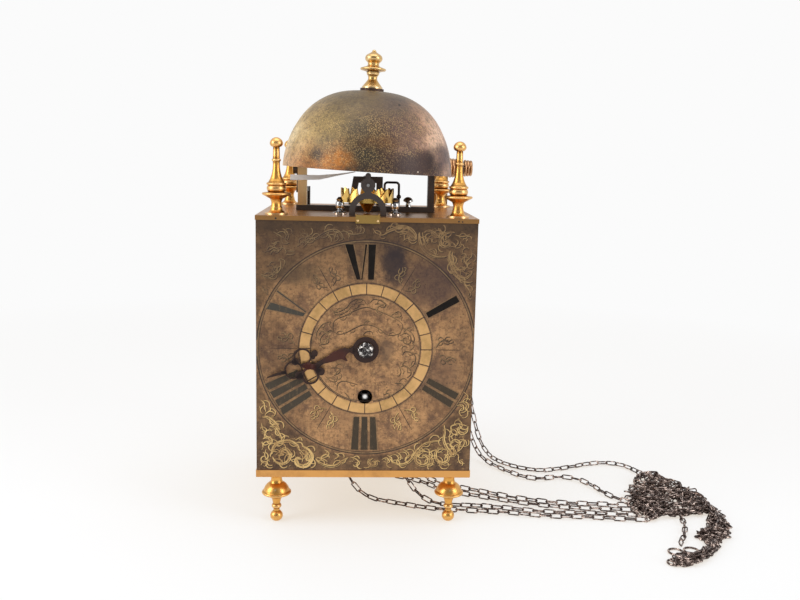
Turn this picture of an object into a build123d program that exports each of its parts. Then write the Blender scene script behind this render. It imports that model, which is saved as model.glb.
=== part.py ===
from build123d import *

import math
import os

# Lantern clock with a six-hour dial: case, bell, going train with verge and pendulum, strike train,
# alarm drum and three iron chains. Millimetres, +Z up, front towards -Y. The origin lies on the surface
# that the clock stands on, midway between its four feet.

# ---- Fits shared by every piece
RUN = 0.05  # radial clearance of a pivot in its hole
SEAT = 0.05  # clearance of a stud or tenon in its hole
AIR = 0.4  # clearance between pieces that pass each other

# ---- Case
FOOT_H = 42.0
BOTTOM_T = 6.0
DIAL_H = 198.5
TOP_T = 3.5
CASE_W = 170.0
CASE_D = 170.0
PLATE_LIP = 0.5
POST_INSET = 14.5
SHEET_T = 1.6
DOOR_T = 1.5
STUD_R = 3.0
STUD_L = 6.0
PILLAR_R = 5.0
PILLAR_BASE_R = 7.0
HINGE_R = 1.8
HINGE_PIN_R = 1.0
KNOB_R = 5.0
KNOB_L = 12.0
KNOB_INSET = 29.0
DIAL_HOLE_R = 5.9
NUMERAL_DEPTH = 0.5

# ---- Feet and finials (turned brass)
FOOT_BALL_R = 5.1
FOOT_PAD_R = 2.4
FOOT_DISC_R = 11.9
FOOT_LEG_R = 3.3
FINIAL_H = 58.6
FINIAL_DISC_R = 11.1
FINIAL_BASE_R = 8.8
FINIAL_BALL_R = 5.0
FINIAL_TIP_R = 2.5

# ---- Bell and its stand
BELL_R = 70.5
BELL_H = 64.5
BELL_WALL = 2.6
BELL_RIM_ABOVE = 33.7
BELL_LEAN = 2.5
BELL_Y = -10.0
BELL_HOLE_R = 3.3
BELL_LAND_R = 9.8
STAND_W = 8.0
STAND_T = 5.4
STAND_BASE_T = 4.2
LEFT_POST_T = 7.5
STAND_SPAN = 108.0
STAND_SHOULDER = 46.0
STAND_NECK = 18.0
COLLAR_L, COLLAR_R = 4.8, 6.0
BELL_STUD_R = 2.2
BELL_NUT_H = 34.0
BELL_NUT_R = 10.6
WASHER_T = 2.6

# ---- Movement frame
BAR_W = 30.0
BAR_T = 4.0
FRONT_BAR_Y = -62.0
CENTRE_BAR_Y = -4.0
REAR_BAR_Y = 56.0
TENON_W = 14.0
PIVOT_R = 1.5
PIVOT_L = 1.8
ARBOR_R = 2.0
GREAT_ARBOR_R = 3.0
GREAT_PIVOT_R = 2.5

# ---- Trains: centre heights come from the great arbor and the gear sizes
GREAT_ABOVE = 60.7
GOING_MODULE, GOING_TEETH, SECOND_LEAVES = 1.6, 56, 7
SECOND_MODULE, SECOND_TEETH, CONTRATE_LEAVES = 1.0, 49, 7
CONTRATE_MODULE, CONTRATE_TEETH, CROWN_LEAVES = 1.0, 36, 6
MOTION_TEETH, REPORT_LEAVES = 48, 8
MOTION_DROP = 38.4
STRIKE_MODULE, STRIKE_TEETH, HOOP_LEAVES = 1.5, 60, 6
HOOP_MODULE, HOOP_TEETH, WARNING_LEAVES = 0.9, 48, 6
WARNING_MODULE, WARNING_TEETH, FLY_LEAVES = 0.8, 42, 6
COUNT_MODULE, COUNT_TEETH, COUNT_PINION = 0.8, 42, 20
WHEEL_T = 2.0
GREAT_T = 2.5
LEAF_L = 5.5
HAMMER_PINS = 10
LIFTING_PINS = 6
PIN_R = 1.2
CHAIN_R = 25.0
CHAIN_W = 5.0
GROOVE_GAP = 0.5
SPROCKET_LIP = 2.5
SPROCKET_WALL = 2.0
GOING_CHAIN_Y = -28.0
STRIKE_CHAIN_Y = 28.0

# ---- Escapement
CROWN_R = 21.5
CROWN_TEETH = 15
CROWN_Y = -40.0
CROWN_BAND = 4.0
CROWN_TOOTH = 7.2
CROWN_WALL = 1.6
CROWN_CROSS_W = 3.8
CROWN_ABOVE = 9.1
VERGE_ABOVE = 23.7
VERGE_R = 1.6
PALLET_L = 3.4
PALLET_W = 5.0
COCK_INSET = 13.0
REAR_COCK_INSET = 11.0
COCK_T = 3.0
ARCH_R = 14.4
ARCH_W = 4.6
PENDULUM_BEHIND = 7.0
PENDULUM_L = 127.0
PENDULUM_R = 1.1
BOB_R = 12.0
BOB_T = 8.0

# ---- Hand and its collet
HAND_T = 1.5
HAND_L = 64.0
HAND_BOSS_R = 10.9
HAND_ANGLE = 198.0
PIPE_R = 4.6
POST_R = 3.0
COLLET_R = 6.2

# ---- Strike levers, alarm drum, wall fittings
HAMMER_X, HAMMER_Y = -52.0, 38.0
HAMMER_R = 2.2
HAMMER_HEAD_X, HAMMER_HEAD_Y = -58.0, 1.0
DETENT_X, DETENT_ABOVE = 30.0, 142.0
FLY_R, FLY_L = 15.5, 30.0
DRUM_INSET = 5.0
DRUM_L = 22.6
DRUM_R0, DRUM_R1 = 9.5, 7.4
DRUM_ABOVE = 36.0
DRUM_BEHIND = 13.0
DRUM_GROOVE_R = 5.5
DRUM_GROOVE_AT = 11.5
DRUM_RIBS, RIB_DEPTH = 3, 0.9
SPUR_L = 27.0
HOOP_W = 42.0
HOOP_L = 15.0
CHAIN_HOLE_R = 6.5
PILE_H = 9.0
MAT_H = 5.0
MAT_EDGE = 1.5
RING_R, RING_BAR_R = 5.4, 1.1
EAR_R = 5.0
POTENCE_W, POTENCE_T, POTENCE_RISE = 8.0, 4.8, 4.8
TENON_L = 4.0
POST_TAIL_R = 2.0
POST_END = 9.0
PIPE_STAND = 4.2
HAND_STAND = 2.0
HAND_RING_R = 6.6
REPORT_GAP = 6.5
REPORT_L = 4.0
SQUARE_W = 4.6
SQUARE_DEPTH = 0.6
SECOND_WHEEL_GAP = 6.0
CONTRATE_LEAF_L = 4.4
CONTRATE_ARBOR_R = 1.6
CONTRATE_RING = 2.6
CROWN_ARBOR_R = 1.3
COLLET_TOP_R = 7.0
COLLET_TIP_R, COLLET_GAP = 1.7, 0.6
VERGE_PIVOT_R = 1.2
COCK_BOSS_R = 5.6
REAR_COCK_W = 13.0
REAR_COCK_BAR = 6.0
COLUMN_X, COLUMN_Y = 21.8, -56.0
STAPLE_X0, STAPLE_X1, STAPLE_Y, STAPLE_H = 15.2, 27.4, -2.0, 24.0
SCREW_X = 35.0
LIFT_PIN_L = 4.0
HAMMER_PIN_L = 5.0
COUNT_T = 2.0
COUNT_DISC_R = 30.0
COUNT_GAP = 1.0
COUNT_END_PLAY = 1.0
COUNT_BLOWS = 21
HOOP_WHEEL_Y = 16.0
HOOP_RIM_L = 4.0
HOOP_RIM_R = 17.0
WARNING_WHEEL_Y = 44.0
THIN_ARBOR_R = 1.3
FLY_ARBOR_R = 1.0
FLY_Y = 9.0
HAMMER_RISE = 18.0
HAMMER_HEAD_H = 0.5
TAIL_GAP = 0.8
SPRING_T = 1.0
LIFT_ARM_GAP = 5.5
ARM_T = 1.6

# ---- Places worked out from the sizes above
FLOOR_TOP = FOOT_H + BOTTOM_T
ROOF = FLOOR_TOP + DIAL_H
DECK = ROOF + TOP_T
HALF_W, HALF_D = CASE_W / 2, CASE_D / 2
POST_X, POST_Y = HALF_W - POST_INSET, HALF_D - POST_INSET
CORNERS = {
    "front_left": (-POST_X, -POST_Y),
    "front_right": (POST_X, -POST_Y),
    "rear_left": (-POST_X, POST_Y),
    "rear_right": (POST_X, POST_Y),
}
GREAT_Z = FLOOR_TOP + GREAT_ABOVE
HOUR_Z = GREAT_Z + MOTION_DROP
MOTION_MODULE = 2 * MOTION_DROP / (MOTION_TEETH + REPORT_LEAVES)
SECOND_Z = GREAT_Z + GOING_MODULE * (GOING_TEETH + SECOND_LEAVES) / 2
CONTRATE_Z = SECOND_Z + SECOND_MODULE * (SECOND_TEETH + CONTRATE_LEAVES) / 2
HOOP_Z = GREAT_Z + STRIKE_MODULE * (STRIKE_TEETH + HOOP_LEAVES) / 2
WARNING_Z = HOOP_Z + HOOP_MODULE * (HOOP_TEETH + WARNING_LEAVES) / 2
FLY_Z = WARNING_Z + WARNING_MODULE * (WARNING_TEETH + FLY_LEAVES) / 2
COUNT_Z = GREAT_Z + COUNT_MODULE * (COUNT_TEETH + COUNT_PINION) / 2
VERGE_Z = DECK + VERGE_ABOVE
DRUM_Z = DECK + DRUM_ABOVE
DETENT_Z = FLOOR_TOP + DETENT_ABOVE
HINGE_X = HALF_W - HINGE_R
HINGE_Y = -HALF_D + SHEET_T + HINGE_R + AIR
FRONT_FACE, REAR_FACE = FRONT_BAR_Y - BAR_T / 2, REAR_BAR_Y + BAR_T / 2
GOING_BAY = (FRONT_BAR_Y + BAR_T / 2, CENTRE_BAR_Y - BAR_T / 2)
STRIKE_BAY = (CENTRE_BAR_Y + BAR_T / 2, REAR_BAR_Y - BAR_T / 2)
DIAL_BACK = -HALF_D + SHEET_T
KNOB_Y = HALF_D - KNOB_INSET
COCK_Y, REAR_COCK_Y = -HALF_D + COCK_INSET, HALF_D - REAR_COCK_INSET
PENDULUM_Y = HALF_D + PENDULUM_BEHIND
DRUM_X0, DRUM_X1 = HALF_W - DRUM_INSET, HALF_W - DRUM_INSET + DRUM_L
DRUM_Y = HALF_D + DRUM_BEHIND
ALARM_CHAIN_X = DRUM_X0 + DRUM_GROOVE_AT
SQUARE_Y = -HALF_D + SQUARE_DEPTH
SECOND_WHEEL_Y = GOING_BAY[0] + SECOND_WHEEL_GAP
COUNT_Y = REAR_FACE + COUNT_GAP
COUNT_ARM_Y = COUNT_Y + COUNT_T
COUNT_STUD_END = COUNT_ARM_Y + WHEEL_T + COUNT_END_PLAY
LIFT_ARM_Y = FRONT_FACE - LIFT_ARM_GAP

parts = {}


# ---- Ways of making a piece
def at(r, z):
    return Vector(r, 0, z)


def turned(*steps, bore=0.0):
    """A solid turned about +Z. A step is (r, z) for a straight cut, or (r, z, r, z) for an arc
    through the first point to the second."""
    first, here, edges = steps[0], steps[0], []
    if first[0] > bore + 1e-6:
        edges.append(Line(at(bore, first[1]), at(*first)))
    for step in steps[1:]:
        there = step[-2:]
        if len(step) == 4:
            edges.append(ThreePointArc(at(*here), at(*step[:2]), at(*there)))
        else:
            edges.append(Line(at(*here), at(*there)))
        here = there
    if here[0] > bore + 1e-6:
        edges.append(Line(at(*here), at(bore, here[1])))
    edges.append(Line(at(bore, here[1]), at(bore, first[1])))
    return revolve(make_face(edges), Axis.Z)


def dome(r, z0, z1):
    """The step that closes a turned shape from (r, z0) to the axis at z1 with part of a ball."""
    ball = (r * r + (z1 - z0) ** 2) / (2 * (z1 - z0))
    half = math.acos((z0 - z1 + ball) / ball) / 2
    return ball * math.sin(half), z1 - ball + ball * math.cos(half), 0, z1


def block(x, y, z):
    """A box from its low and high values along each axis."""
    size = [high - low for low, high in (x, y, z)]
    middle = [(low + high) / 2 for low, high in (x, y, z)]
    return Pos(*middle) * Box(*size)


def rod(start, end, radius):
    start, end = Vector(*start), Vector(*end)
    return extrude(Plane(origin=start, z_dir=end - start) * Circle(radius), (end - start).length)


def rod_y(x, z, y0, y1, radius):
    return rod((x, y0, z), (x, y1, z), radius)


def slab_y(points, y0, y1):
    """A flat plate from an outline of (x, z) points, from y0 to y1."""
    face = make_face(Polyline(*[(x, y0, z) for x, z in points], close=True))
    return extrude(face, y1 - y0, dir=(0, 1, 0))


def slab_z(points, z0, z1):
    face = make_face(Polyline(*[(x, y, z0) for x, y in points], close=True))
    return extrude(face, z1 - z0, dir=(0, 0, 1))


def strap(points, width):
    """The outline of a bar of even width that follows points, with mitred bends."""
    left, right = [], []
    for i, (x, z) in enumerate(points):
        before = points[max(i - 1, 0)]
        after = points[min(i + 1, len(points) - 1)]
        a = math.atan2(z - before[1], x - before[0]) if i else None
        b = math.atan2(after[1] - z, after[0] - x) if i < len(points) - 1 else None
        a, b = (b if a is None else a), (a if b is None else b)
        turn = math.remainder(b - a, 2 * math.pi)
        aim, reach = a + turn / 2 + math.pi / 2, width / 2 / math.cos(turn / 2)
        left.append((x + reach * math.cos(aim), z + reach * math.sin(aim)))
        right.append((x - reach * math.cos(aim), z - reach * math.sin(aim)))
    return left + right[::-1]


def toothed(teeth, module, centre, y0, y1, towards, leaves=False):
    """A wheel or pinion on an axis along Y, with teeth thin enough to run free. A wheel has a gap,
    and a pinion a leaf, at the angle towards, in degrees from +X to +Z."""
    if leaves:
        half, tip, root, crown = 0.15, 0.55, 1.5, ((0.55, 0.8), (1.0, 0.3))
    else:
        half, tip, root, crown = 0.215, 1.1, 1.3, ((0.45, 0.8), (0.8, 0.5), (1.0, 0.15))
    pitch_r, step = teeth * module / 2, 2 * math.pi / teeth
    start = math.radians(towards) + (0 if leaves else step / 2)
    side = [(pitch_r - root * module, half), (pitch_r, half)]
    side += [(pitch_r + tip * module * rise, half * share) for rise, share in crown]
    points = []
    for k in range(teeth):
        for r, share in [(r, -s) for r, s in side] + side[::-1]:
            angle = start + (k + share) * step
            points.append((centre[0] + r * math.cos(angle), centre[1] + r * math.sin(angle)))
    return slab_y(points, y0, y1)


def spoked(rim_r, hub_r, arm, centre, y0, y1, spokes=4):
    """What is cut from a wheel's disc to leave a rim, a hub and straight crossings."""
    ring = rod_y(*centre, y0, y1, rim_r) - rod_y(*centre, y0, y1, hub_r)
    for k in range(spokes // 2):
        turn = Rotation(0, 180 * k / (spokes // 2), 0)
        bar = block((-rim_r - 1, rim_r + 1), (y0 - 1, y1 + 1), (-arm / 2, arm / 2))
        ring -= Pos(centre[0], 0, centre[1]) * turn * bar
    return ring


def wheel(teeth, module, centre, y0, thick, towards, bore):
    """A crossed-out brass wheel that is riveted on its arbor's seat of radius bore."""
    y1 = y0 + thick
    disc = toothed(teeth, module, centre, y0, y1, towards)
    rim_r = teeth * module / 2 - module * 1.3 - 2.2
    disc -= spoked(rim_r, bore + 3.2, 3.2, centre, y0, y1)
    return disc - rod_y(*centre, y0, y1, bore)


def arbor(centre, bay, radius, pivot_r):
    """A steel arbor across a bay of the frame, with a pivot at each end."""
    shaft = rod_y(*centre, bay[0] + AIR, bay[1] - AIR, radius)
    return shaft + rod_y(*centre, bay[0] - PIVOT_L, bay[1] + PIVOT_L, pivot_r)


def on_corners(solid, z=0.0):
    return {name: Pos(x, y, z) * solid for name, (x, y) in CORNERS.items()}


# ---- Case: bottom plate, top plate and the pillars between them
def tenon_slots(z0, z1):
    half = TENON_W / 2 + SEAT
    slots = []
    for y in (FRONT_BAR_Y, CENTRE_BAR_Y, REAR_BAR_Y):
        slots.append(block((-half, half), (y - BAR_T / 2 - SEAT, y + BAR_T / 2 + SEAT), (z0, z1)))
    return slots


def plate(z0, z1, chain_holes):
    x, y = HALF_W + PLATE_LIP, HALF_D + PLATE_LIP
    body = block((-x, x), (-y, y), (z0, z1))
    cuts = [rod((px, py, z0), (px, py, z1), STUD_R + SEAT) for px, py in CORNERS.values()]
    cuts += [rod((s * HINGE_X, HINGE_Y, z0), (s * HINGE_X, HINGE_Y, z1), HINGE_PIN_R + RUN) for s in (-1, 1)]
    cuts += [rod((x, y, z0), (x, y, z1), CHAIN_HOLE_R) for x, y in chain_holes]
    return body - cuts - tenon_slots(z0, z1)


chain_places = [(s * CHAIN_R, y) for s in (-1, 1) for y in (GOING_CHAIN_Y, STRIKE_CHAIN_Y)]
bottom = plate(FOOT_H, FLOOR_TOP, chain_places)
bottom = fillet(bottom.faces().sort_by(Axis.Z)[0].outer_wire().edges(), 1.0)
bottom -= rod((HAMMER_X, HAMMER_Y, FOOT_H + 2), (HAMMER_X, HAMMER_Y, FLOOR_TOP), PIVOT_R + RUN)
parts["bottom_plate"] = bottom

top = plate(ROOF, DECK, [])
top -= rod((0, CROWN_Y, ROOF), (0, CROWN_Y, DECK), CROWN_ARBOR_R + RUN)
top -= rod((HAMMER_X, HAMMER_Y, ROOF), (HAMMER_X, HAMMER_Y, DECK), HAMMER_R + RUN)
parts["top_plate"] = top

shaft = turned(
    (STUD_R, FOOT_H - STUD_L),
    (STUD_R, FLOOR_TOP),
    (PILLAR_BASE_R, FLOOR_TOP),
    (PILLAR_BASE_R, FLOOR_TOP + 4),
    (PILLAR_BASE_R - 1.6, FLOOR_TOP + 6.4, PILLAR_R, FLOOR_TOP + 9),
    (PILLAR_R - 0.6, (FLOOR_TOP + ROOF) / 2, PILLAR_R, ROOF - 9),
    (PILLAR_BASE_R - 1.6, ROOF - 6.4, PILLAR_BASE_R, ROOF - 4),
    (PILLAR_BASE_R, ROOF),
    (STUD_R, ROOF),
    (STUD_R, DECK + STUD_L),
)
parts["corner_pillars"] = Compound(children=[Part(s.wrapped) for s in on_corners(shaft).values()])

# ---- Turned feet and finials, screwed on the pillars' studs
foot = turned(
    (FOOT_PAD_R, 0),
    (FOOT_BALL_R, 3.6, 2.6, 8.2),
    (2.5, 10.6),
    (FOOT_LEG_R + 0.7, 12.4, FOOT_LEG_R - 0.3, 14.2),
    (FOOT_LEG_R + 0.2, 17.5, FOOT_LEG_R + 1.6, 20.4),
    (FOOT_DISC_R - 4.6, 21.4, FOOT_DISC_R - 0.9, 23.2),
    (FOOT_DISC_R, 24.2, FOOT_DISC_R - 0.9, 25.4),
    (FOOT_DISC_R - 1.5, 26.2),
    (FOOT_DISC_R - 3.8, 30.6, 5.4, 32.6),
    (4.4, 35.6, 5.6, FOOT_H - 2.4),
    (6.2, FOOT_H),
)
foot -= rod((0, 0, FOOT_H - STUD_L - 0.5), (0, 0, FOOT_H), STUD_R + SEAT)
for name, solid in on_corners(foot).items():
    parts[f"foot_{name}"] = solid

finial = turned(
    (FINIAL_BASE_R, 0),
    (FINIAL_BASE_R, 1.4),
    (6.0, 2.2, 4.6, 5.4),
    (3.9, 8.8, 5.0, 12.0),
    (FINIAL_DISC_R - 3.4, 13.4, FINIAL_DISC_R - 0.8, 14.8),
    (FINIAL_DISC_R, 15.6, FINIAL_DISC_R - 0.9, 16.6),
    (6.2, 17.2),
    (7.4, 19.8, 6.2, 22.4),
    (7.6, 23.3, 6.4, 24.3),
    (4.9, 27.0),
    (3.1, 33.0, 2.8, 40.4),
    (3.5, 41.4, 2.7, 42.4),
    (FINIAL_TIP_R, FINIAL_H - 7.4),
    (FINIAL_BALL_R - 0.5, FINIAL_H - 6.2, FINIAL_BALL_R, FINIAL_H - 4.2),
    dome(FINIAL_BALL_R, FINIAL_H - 4.2, FINIAL_H),
)
finial -= rod((0, 0, 0), (0, 0, STUD_L + 0.5), STUD_R + SEAT)
for name, solid in on_corners(finial, DECK).items():
    parts[f"finial_{name}"] = solid


# ---- Dial plate with six roman numerals, each filled with black wax
def stroke(angle, inner, outer, inner_w, outer_w, inner_r=54.8, outer_r=82.0):
    """One stroke of a numeral that stands on the dial at angle, clockwise from the top."""
    turn, points = math.radians(angle), []
    corners = ((inner - inner_w / 2, inner_r), (outer - outer_w / 2, outer_r))
    corners += ((outer + outer_w / 2, outer_r), (inner + inner_w / 2, inner_r))
    for across, r in corners:
        x = across * math.cos(turn) + r * math.sin(turn)
        points.append((x, HOUR_Z - across * math.sin(turn) + r * math.cos(turn)))
    return slab_y(points, -HALF_D, -HALF_D + NUMERAL_DEPTH)


BAR_IN, BAR_OUT = 4.5, 5.7
STEP_IN, STEP_OUT = 6.4, 7.6


def bars(angle, count, shift_in=0.0, shift_out=0.0):
    places = [k - (count - 1) / 2 for k in range(count)]
    return [stroke(angle, shift_in + p * STEP_IN, shift_out + p * STEP_OUT, BAR_IN, BAR_OUT) for p in places]


def letter_v(angle, shift=0.0):
    thick = stroke(angle, shift - 0.9, shift - 8.6, 3.0, 6.2)
    thin = stroke(angle, shift + 1.6, shift + 4.6, 0.9, 1.2)
    return [thick, thin]


numerals = bars(60, 1) + bars(120, 2) + bars(180, 3) + bars(240, 4)
numerals += letter_v(300) + letter_v(0, -5.4) + bars(0, 1, 3.2, 3.8)
dial = block((-HALF_W, HALF_W), (-HALF_D, DIAL_BACK), (FLOOR_TOP, ROOF))
dial -= rod_y(0, HOUR_Z, -HALF_D, DIAL_BACK, PIPE_R + 1)
dial -= rod_y(0, GREAT_Z, -HALF_D, DIAL_BACK, DIAL_HOLE_R)
parts["dial_plate"] = dial - numerals
parts["dial_numerals"] = Compound(children=[Part(n.wrapped) for n in numerals])

catch = block((-9.3, 9.3), (-HALF_D - PLATE_LIP - 2, -HALF_D - PLATE_LIP), (ROOF - 1.2, DECK + 1.6))
parts["dial_catch"] = catch

# ---- Back plate and the two side doors on pin hinges
back = block((-HALF_W, HALF_W), (HALF_D - SHEET_T, HALF_D), (FLOOR_TOP, ROOF))
parts["back_plate"] = back


def door(side):
    """A sheet whose front edge is rolled round the hinge pins that enter both plates."""
    low, high = FLOOR_TOP + AIR, ROOF - AIR
    outer, inner = side * HALF_W, side * (HALF_W - DOOR_T)
    x = (min(outer, inner), max(outer, inner))
    sheet = block(x, (HINGE_Y, HALF_D - SHEET_T - AIR), (low, high))
    roll = rod((side * HINGE_X, HINGE_Y, low), (side * HINGE_X, HINGE_Y, high), HINGE_R)
    pin = rod((side * HINGE_X, HINGE_Y, FOOT_H + 1), (side * HINGE_X, HINGE_Y, DECK - 0.5), HINGE_PIN_R)
    hole = rod((side * (HALF_W - 9), KNOB_Y, HOUR_Z), (side * (HALF_W + 9), KNOB_Y, HOUR_Z), 1.5 + SEAT)
    return sheet + roll + pin - hole


knob = turned(
    (1.5, -4),
    (1.5, 0),
    (3.2, 0),
    (2.0, 2.2, 1.9, 4.2),
    (KNOB_R - 0.6, 5.2, KNOB_R, 7.4),
    dome(KNOB_R, 7.4, KNOB_L),
)
for name, side in (("left", -1), ("right", 1)):
    parts[f"{name}_door"] = door(side)
    seat = Location((side * HALF_W, KNOB_Y, HOUR_Z), (0, 90 * side, 0))
    parts[f"{name}_door_knob"] = seat * knob

# ---- Bell stand: one forged strap with a right-hand post, and a separate brass post on the left
stand_x = STAND_SPAN / 2
stand_z = DECK + BELL_RIM_ABOVE
arch_z = stand_z + BELL_H - BELL_WALL - COLLAR_L - STAND_T / 2
stand_y = (BELL_Y - STAND_W / 2, BELL_Y + STAND_W / 2)
arch = strap(
    [
        (stand_x, DECK + STAND_BASE_T / 2),
        (stand_x, DECK + STAND_SHOULDER),
        (STAND_NECK, arch_z),
        (-STAND_NECK, arch_z),
        (-stand_x, DECK + STAND_SHOULDER),
        (-stand_x, DECK + STAND_SHOULDER - 8),
    ],
    STAND_T,
)
arch_foot = block((-stand_x - 5, stand_x + 3.2), stand_y, (DECK, DECK + STAND_BASE_T))
post_low, post_high = DECK + STAND_BASE_T, DECK + STAND_SHOULDER - 8
lean = Location((0, BELL_Y, stand_z), (0, BELL_LEAN, 0))
stud_top = BELL_H + WASHER_T + 12
under_crown = BELL_H - BELL_WALL
stud = lean * rod((0, 0, under_crown - COLLAR_L), (0, 0, stud_top), BELL_STUD_R)
collar = lean * rod((0, 0, under_crown - COLLAR_L - STAND_T / 2), (0, 0, under_crown), COLLAR_R)
parts["bell_stand"] = slab_y(arch, *stand_y) + arch_foot + stud + collar
post_x = (-stand_x - LEFT_POST_T / 2, -stand_x + LEFT_POST_T / 2)
parts["bell_stand_left_post"] = block(post_x, stand_y, (post_low, post_high))


# ---- Bell, its iron washer and the turned brass nut on top
def bell_outline(inset):
    r, h = BELL_R - inset, BELL_H - inset
    crown = [(0.60 * r, 0.86 * h, BELL_LAND_R, h), (BELL_HOLE_R, h)]
    return [(r, 0), (0.96 * r, 0.28 * h, 0.845 * r, 0.57 * h), *crown]


bell = turned(*bell_outline(0)) - turned(*bell_outline(BELL_WALL))
bell -= rod((0, 0, 0), (0, 0, BELL_H + 5), BELL_HOLE_R)
parts["bell"] = lean * bell
washer = turned((BELL_NUT_R - 0.8, BELL_H), (BELL_NUT_R - 0.8, BELL_H + WASHER_T), bore=BELL_STUD_R + SEAT)
parts["bell_washer"] = lean * washer
nut = turned(
    (8.6, 0),
    (8.6, 1.2),
    (6.6, 3.6, 4.6, 6.2),
    (3.7, 8.4, 5.0, 11.4),
    (5.4, 13.6),
    (BELL_NUT_R - 1.0, 14.6),
    (BELL_NUT_R, 15.6, BELL_NUT_R - 1.0, 16.6),
    (5.2, 18.2),
    (4.7, 20.4, 5.6, 21.6),
    (7.1, 24.0, 5.4, 27.4),
    (3.4, 28.6),
    (1.8, 29.6),
    dome(1.8, 29.6, BELL_NUT_H - WASHER_T),
)
nut -= rod((0, 0, 0), (0, 0, 12.5), BELL_STUD_R + SEAT)
parts["bell_nut"] = lean * Pos(0, 0, BELL_H + WASHER_T) * nut


# ---- Three bars of the movement frame, tenoned in both plates; the middle one carries the potence
def bar(y, holes, ear=False):
    """A brass bar with pivot holes, and a lug for the detent arbor. A hole is (z, radius, from y, to y)."""
    y0, y1 = y - BAR_T / 2, y + BAR_T / 2
    body = block((-BAR_W / 2, BAR_W / 2), (y0, y1), (FLOOR_TOP, ROOF))
    body += block((-TENON_W / 2, TENON_W / 2), (y0, y1), (FLOOR_TOP - TENON_L, FLOOR_TOP))
    body += block((-TENON_W / 2, TENON_W / 2), (y0, y1), (ROOF, DECK))
    if ear:
        body += block((0, DETENT_X), (y0, y1), (DETENT_Z - EAR_R, DETENT_Z + EAR_R))
        body += rod_y(DETENT_X, DETENT_Z, y0, y1, EAR_R)
        body -= rod_y(DETENT_X, DETENT_Z, y0, y1, PIVOT_R + RUN)
    return body - [rod_y(0, z, h0, h1, r) for z, r, h0, h1 in holes]


def pivot_holes(heights, radii, y0, y1):
    return [(z, r + RUN, y0, y1) for z, r in zip(heights, radii)]


going_z, going_r = (GREAT_Z, SECOND_Z, CONTRATE_Z), (GREAT_PIVOT_R, PIVOT_R, PIVOT_R)
strike_z, strike_r = (GREAT_Z, HOOP_Z, WARNING_Z, FLY_Z), (GREAT_PIVOT_R, PIVOT_R, THIN_ARBOR_R, FLY_ARBOR_R)
holes = pivot_holes(going_z, going_r, FRONT_FACE, FRONT_FACE + BAR_T)
holes.append((HOUR_Z, POST_TAIL_R + SEAT, FRONT_FACE, FRONT_FACE + BAR_T))
parts["front_bar"] = bar(FRONT_BAR_Y, holes, ear=True)
holes = pivot_holes(strike_z, strike_r, STRIKE_BAY[1], REAR_FACE)
parts["rear_bar"] = bar(REAR_BAR_Y, holes, ear=True)
blind = PIVOT_L + 0.1
holes = pivot_holes(going_z, going_r, GOING_BAY[1], GOING_BAY[1] + blind)
holes += pivot_holes(strike_z, strike_r, STRIKE_BAY[0] - blind, STRIKE_BAY[0])
middle = bar(CENTRE_BAR_Y, holes)
potence_z = (CONTRATE_Z + POTENCE_RISE, CONTRATE_Z + POTENCE_RISE + POTENCE_T)
middle += block((-POTENCE_W / 2, POTENCE_W / 2), (CROWN_Y - 3, GOING_BAY[1]), potence_z)
foot_hole = (potence_z[0] + 2, potence_z[1])
middle -= rod((0, CROWN_Y, foot_hole[0]), (0, CROWN_Y, foot_hole[1]), CROWN_ARBOR_R + RUN)
parts["centre_bar"] = middle

# ---- Going train: great wheel with its chain sprocket, second wheel, contrate wheel
UP, DOWN = 90, -90


def sprocket(centre, y, bore):
    """A grooved wheel that the chain rides in, with flanges on both sides of it."""
    half = CHAIN_W / 2 + GROOVE_GAP
    root = CHAIN_R - CHAIN_W / 2 - AIR
    rim = CHAIN_R + SPROCKET_LIP
    body = rod_y(*centre, y - half, y + half, root)
    for low, high in ((y - half - SPROCKET_WALL, y - half), (y + half, y + half + SPROCKET_WALL)):
        body += rod_y(*centre, low, high, rim)
        body -= spoked(root - 3, bore + 4, 6, centre, low, high)
    body -= spoked(root - 3, bore + 4, 6, centre, y - half, y + half)
    return body - rod_y(*centre, y - half - SPROCKET_WALL, y + half + SPROCKET_WALL, bore)


def cylinder_set(y, thick, side):
    """Where a great wheel starts when it lies against its sprocket, on the side -1 or 1."""
    face = y + side * (CHAIN_W / 2 + GROOVE_GAP + SPROCKET_WALL)
    return face if side > 0 else face - thick


great, second, contrate = (0, GREAT_Z), (0, SECOND_Z), (0, CONTRATE_Z)
great_y = cylinder_set(GOING_CHAIN_Y, GREAT_T, -1)
great_wheel = wheel(GOING_TEETH, GOING_MODULE, great, great_y, GREAT_T, UP, GREAT_ARBOR_R)
parts["going_great_wheel"] = great_wheel + sprocket(great, GOING_CHAIN_Y, GREAT_ARBOR_R)
report_y = FRONT_FACE - REPORT_GAP - REPORT_L
shaft = rod_y(*great, GOING_BAY[0] + AIR, GOING_BAY[1] - AIR, GREAT_ARBOR_R)
shaft += rod_y(*great, report_y, GOING_BAY[1] + PIVOT_L, GREAT_PIVOT_R)
shaft += toothed(REPORT_LEAVES, MOTION_MODULE, great, report_y, report_y + REPORT_L, UP, leaves=True)
half_square = SQUARE_W / 2
square_z = (GREAT_Z - half_square, GREAT_Z + half_square)
square = block((-half_square, half_square), (SQUARE_Y, report_y), square_z)
parts["going_great_arbor"] = shaft + square

second_leaves_y = great_y - (LEAF_L - GREAT_T) / 2
shaft = arbor(second, GOING_BAY, ARBOR_R, PIVOT_R)
leaves_y = (second_leaves_y, second_leaves_y + LEAF_L)
shaft += toothed(SECOND_LEAVES, GOING_MODULE, second, *leaves_y, DOWN, leaves=True)
disc = wheel(SECOND_TEETH, SECOND_MODULE, second, SECOND_WHEEL_Y, WHEEL_T, UP, ARBOR_R - SEAT)
parts["second_wheel"] = shaft + disc

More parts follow.
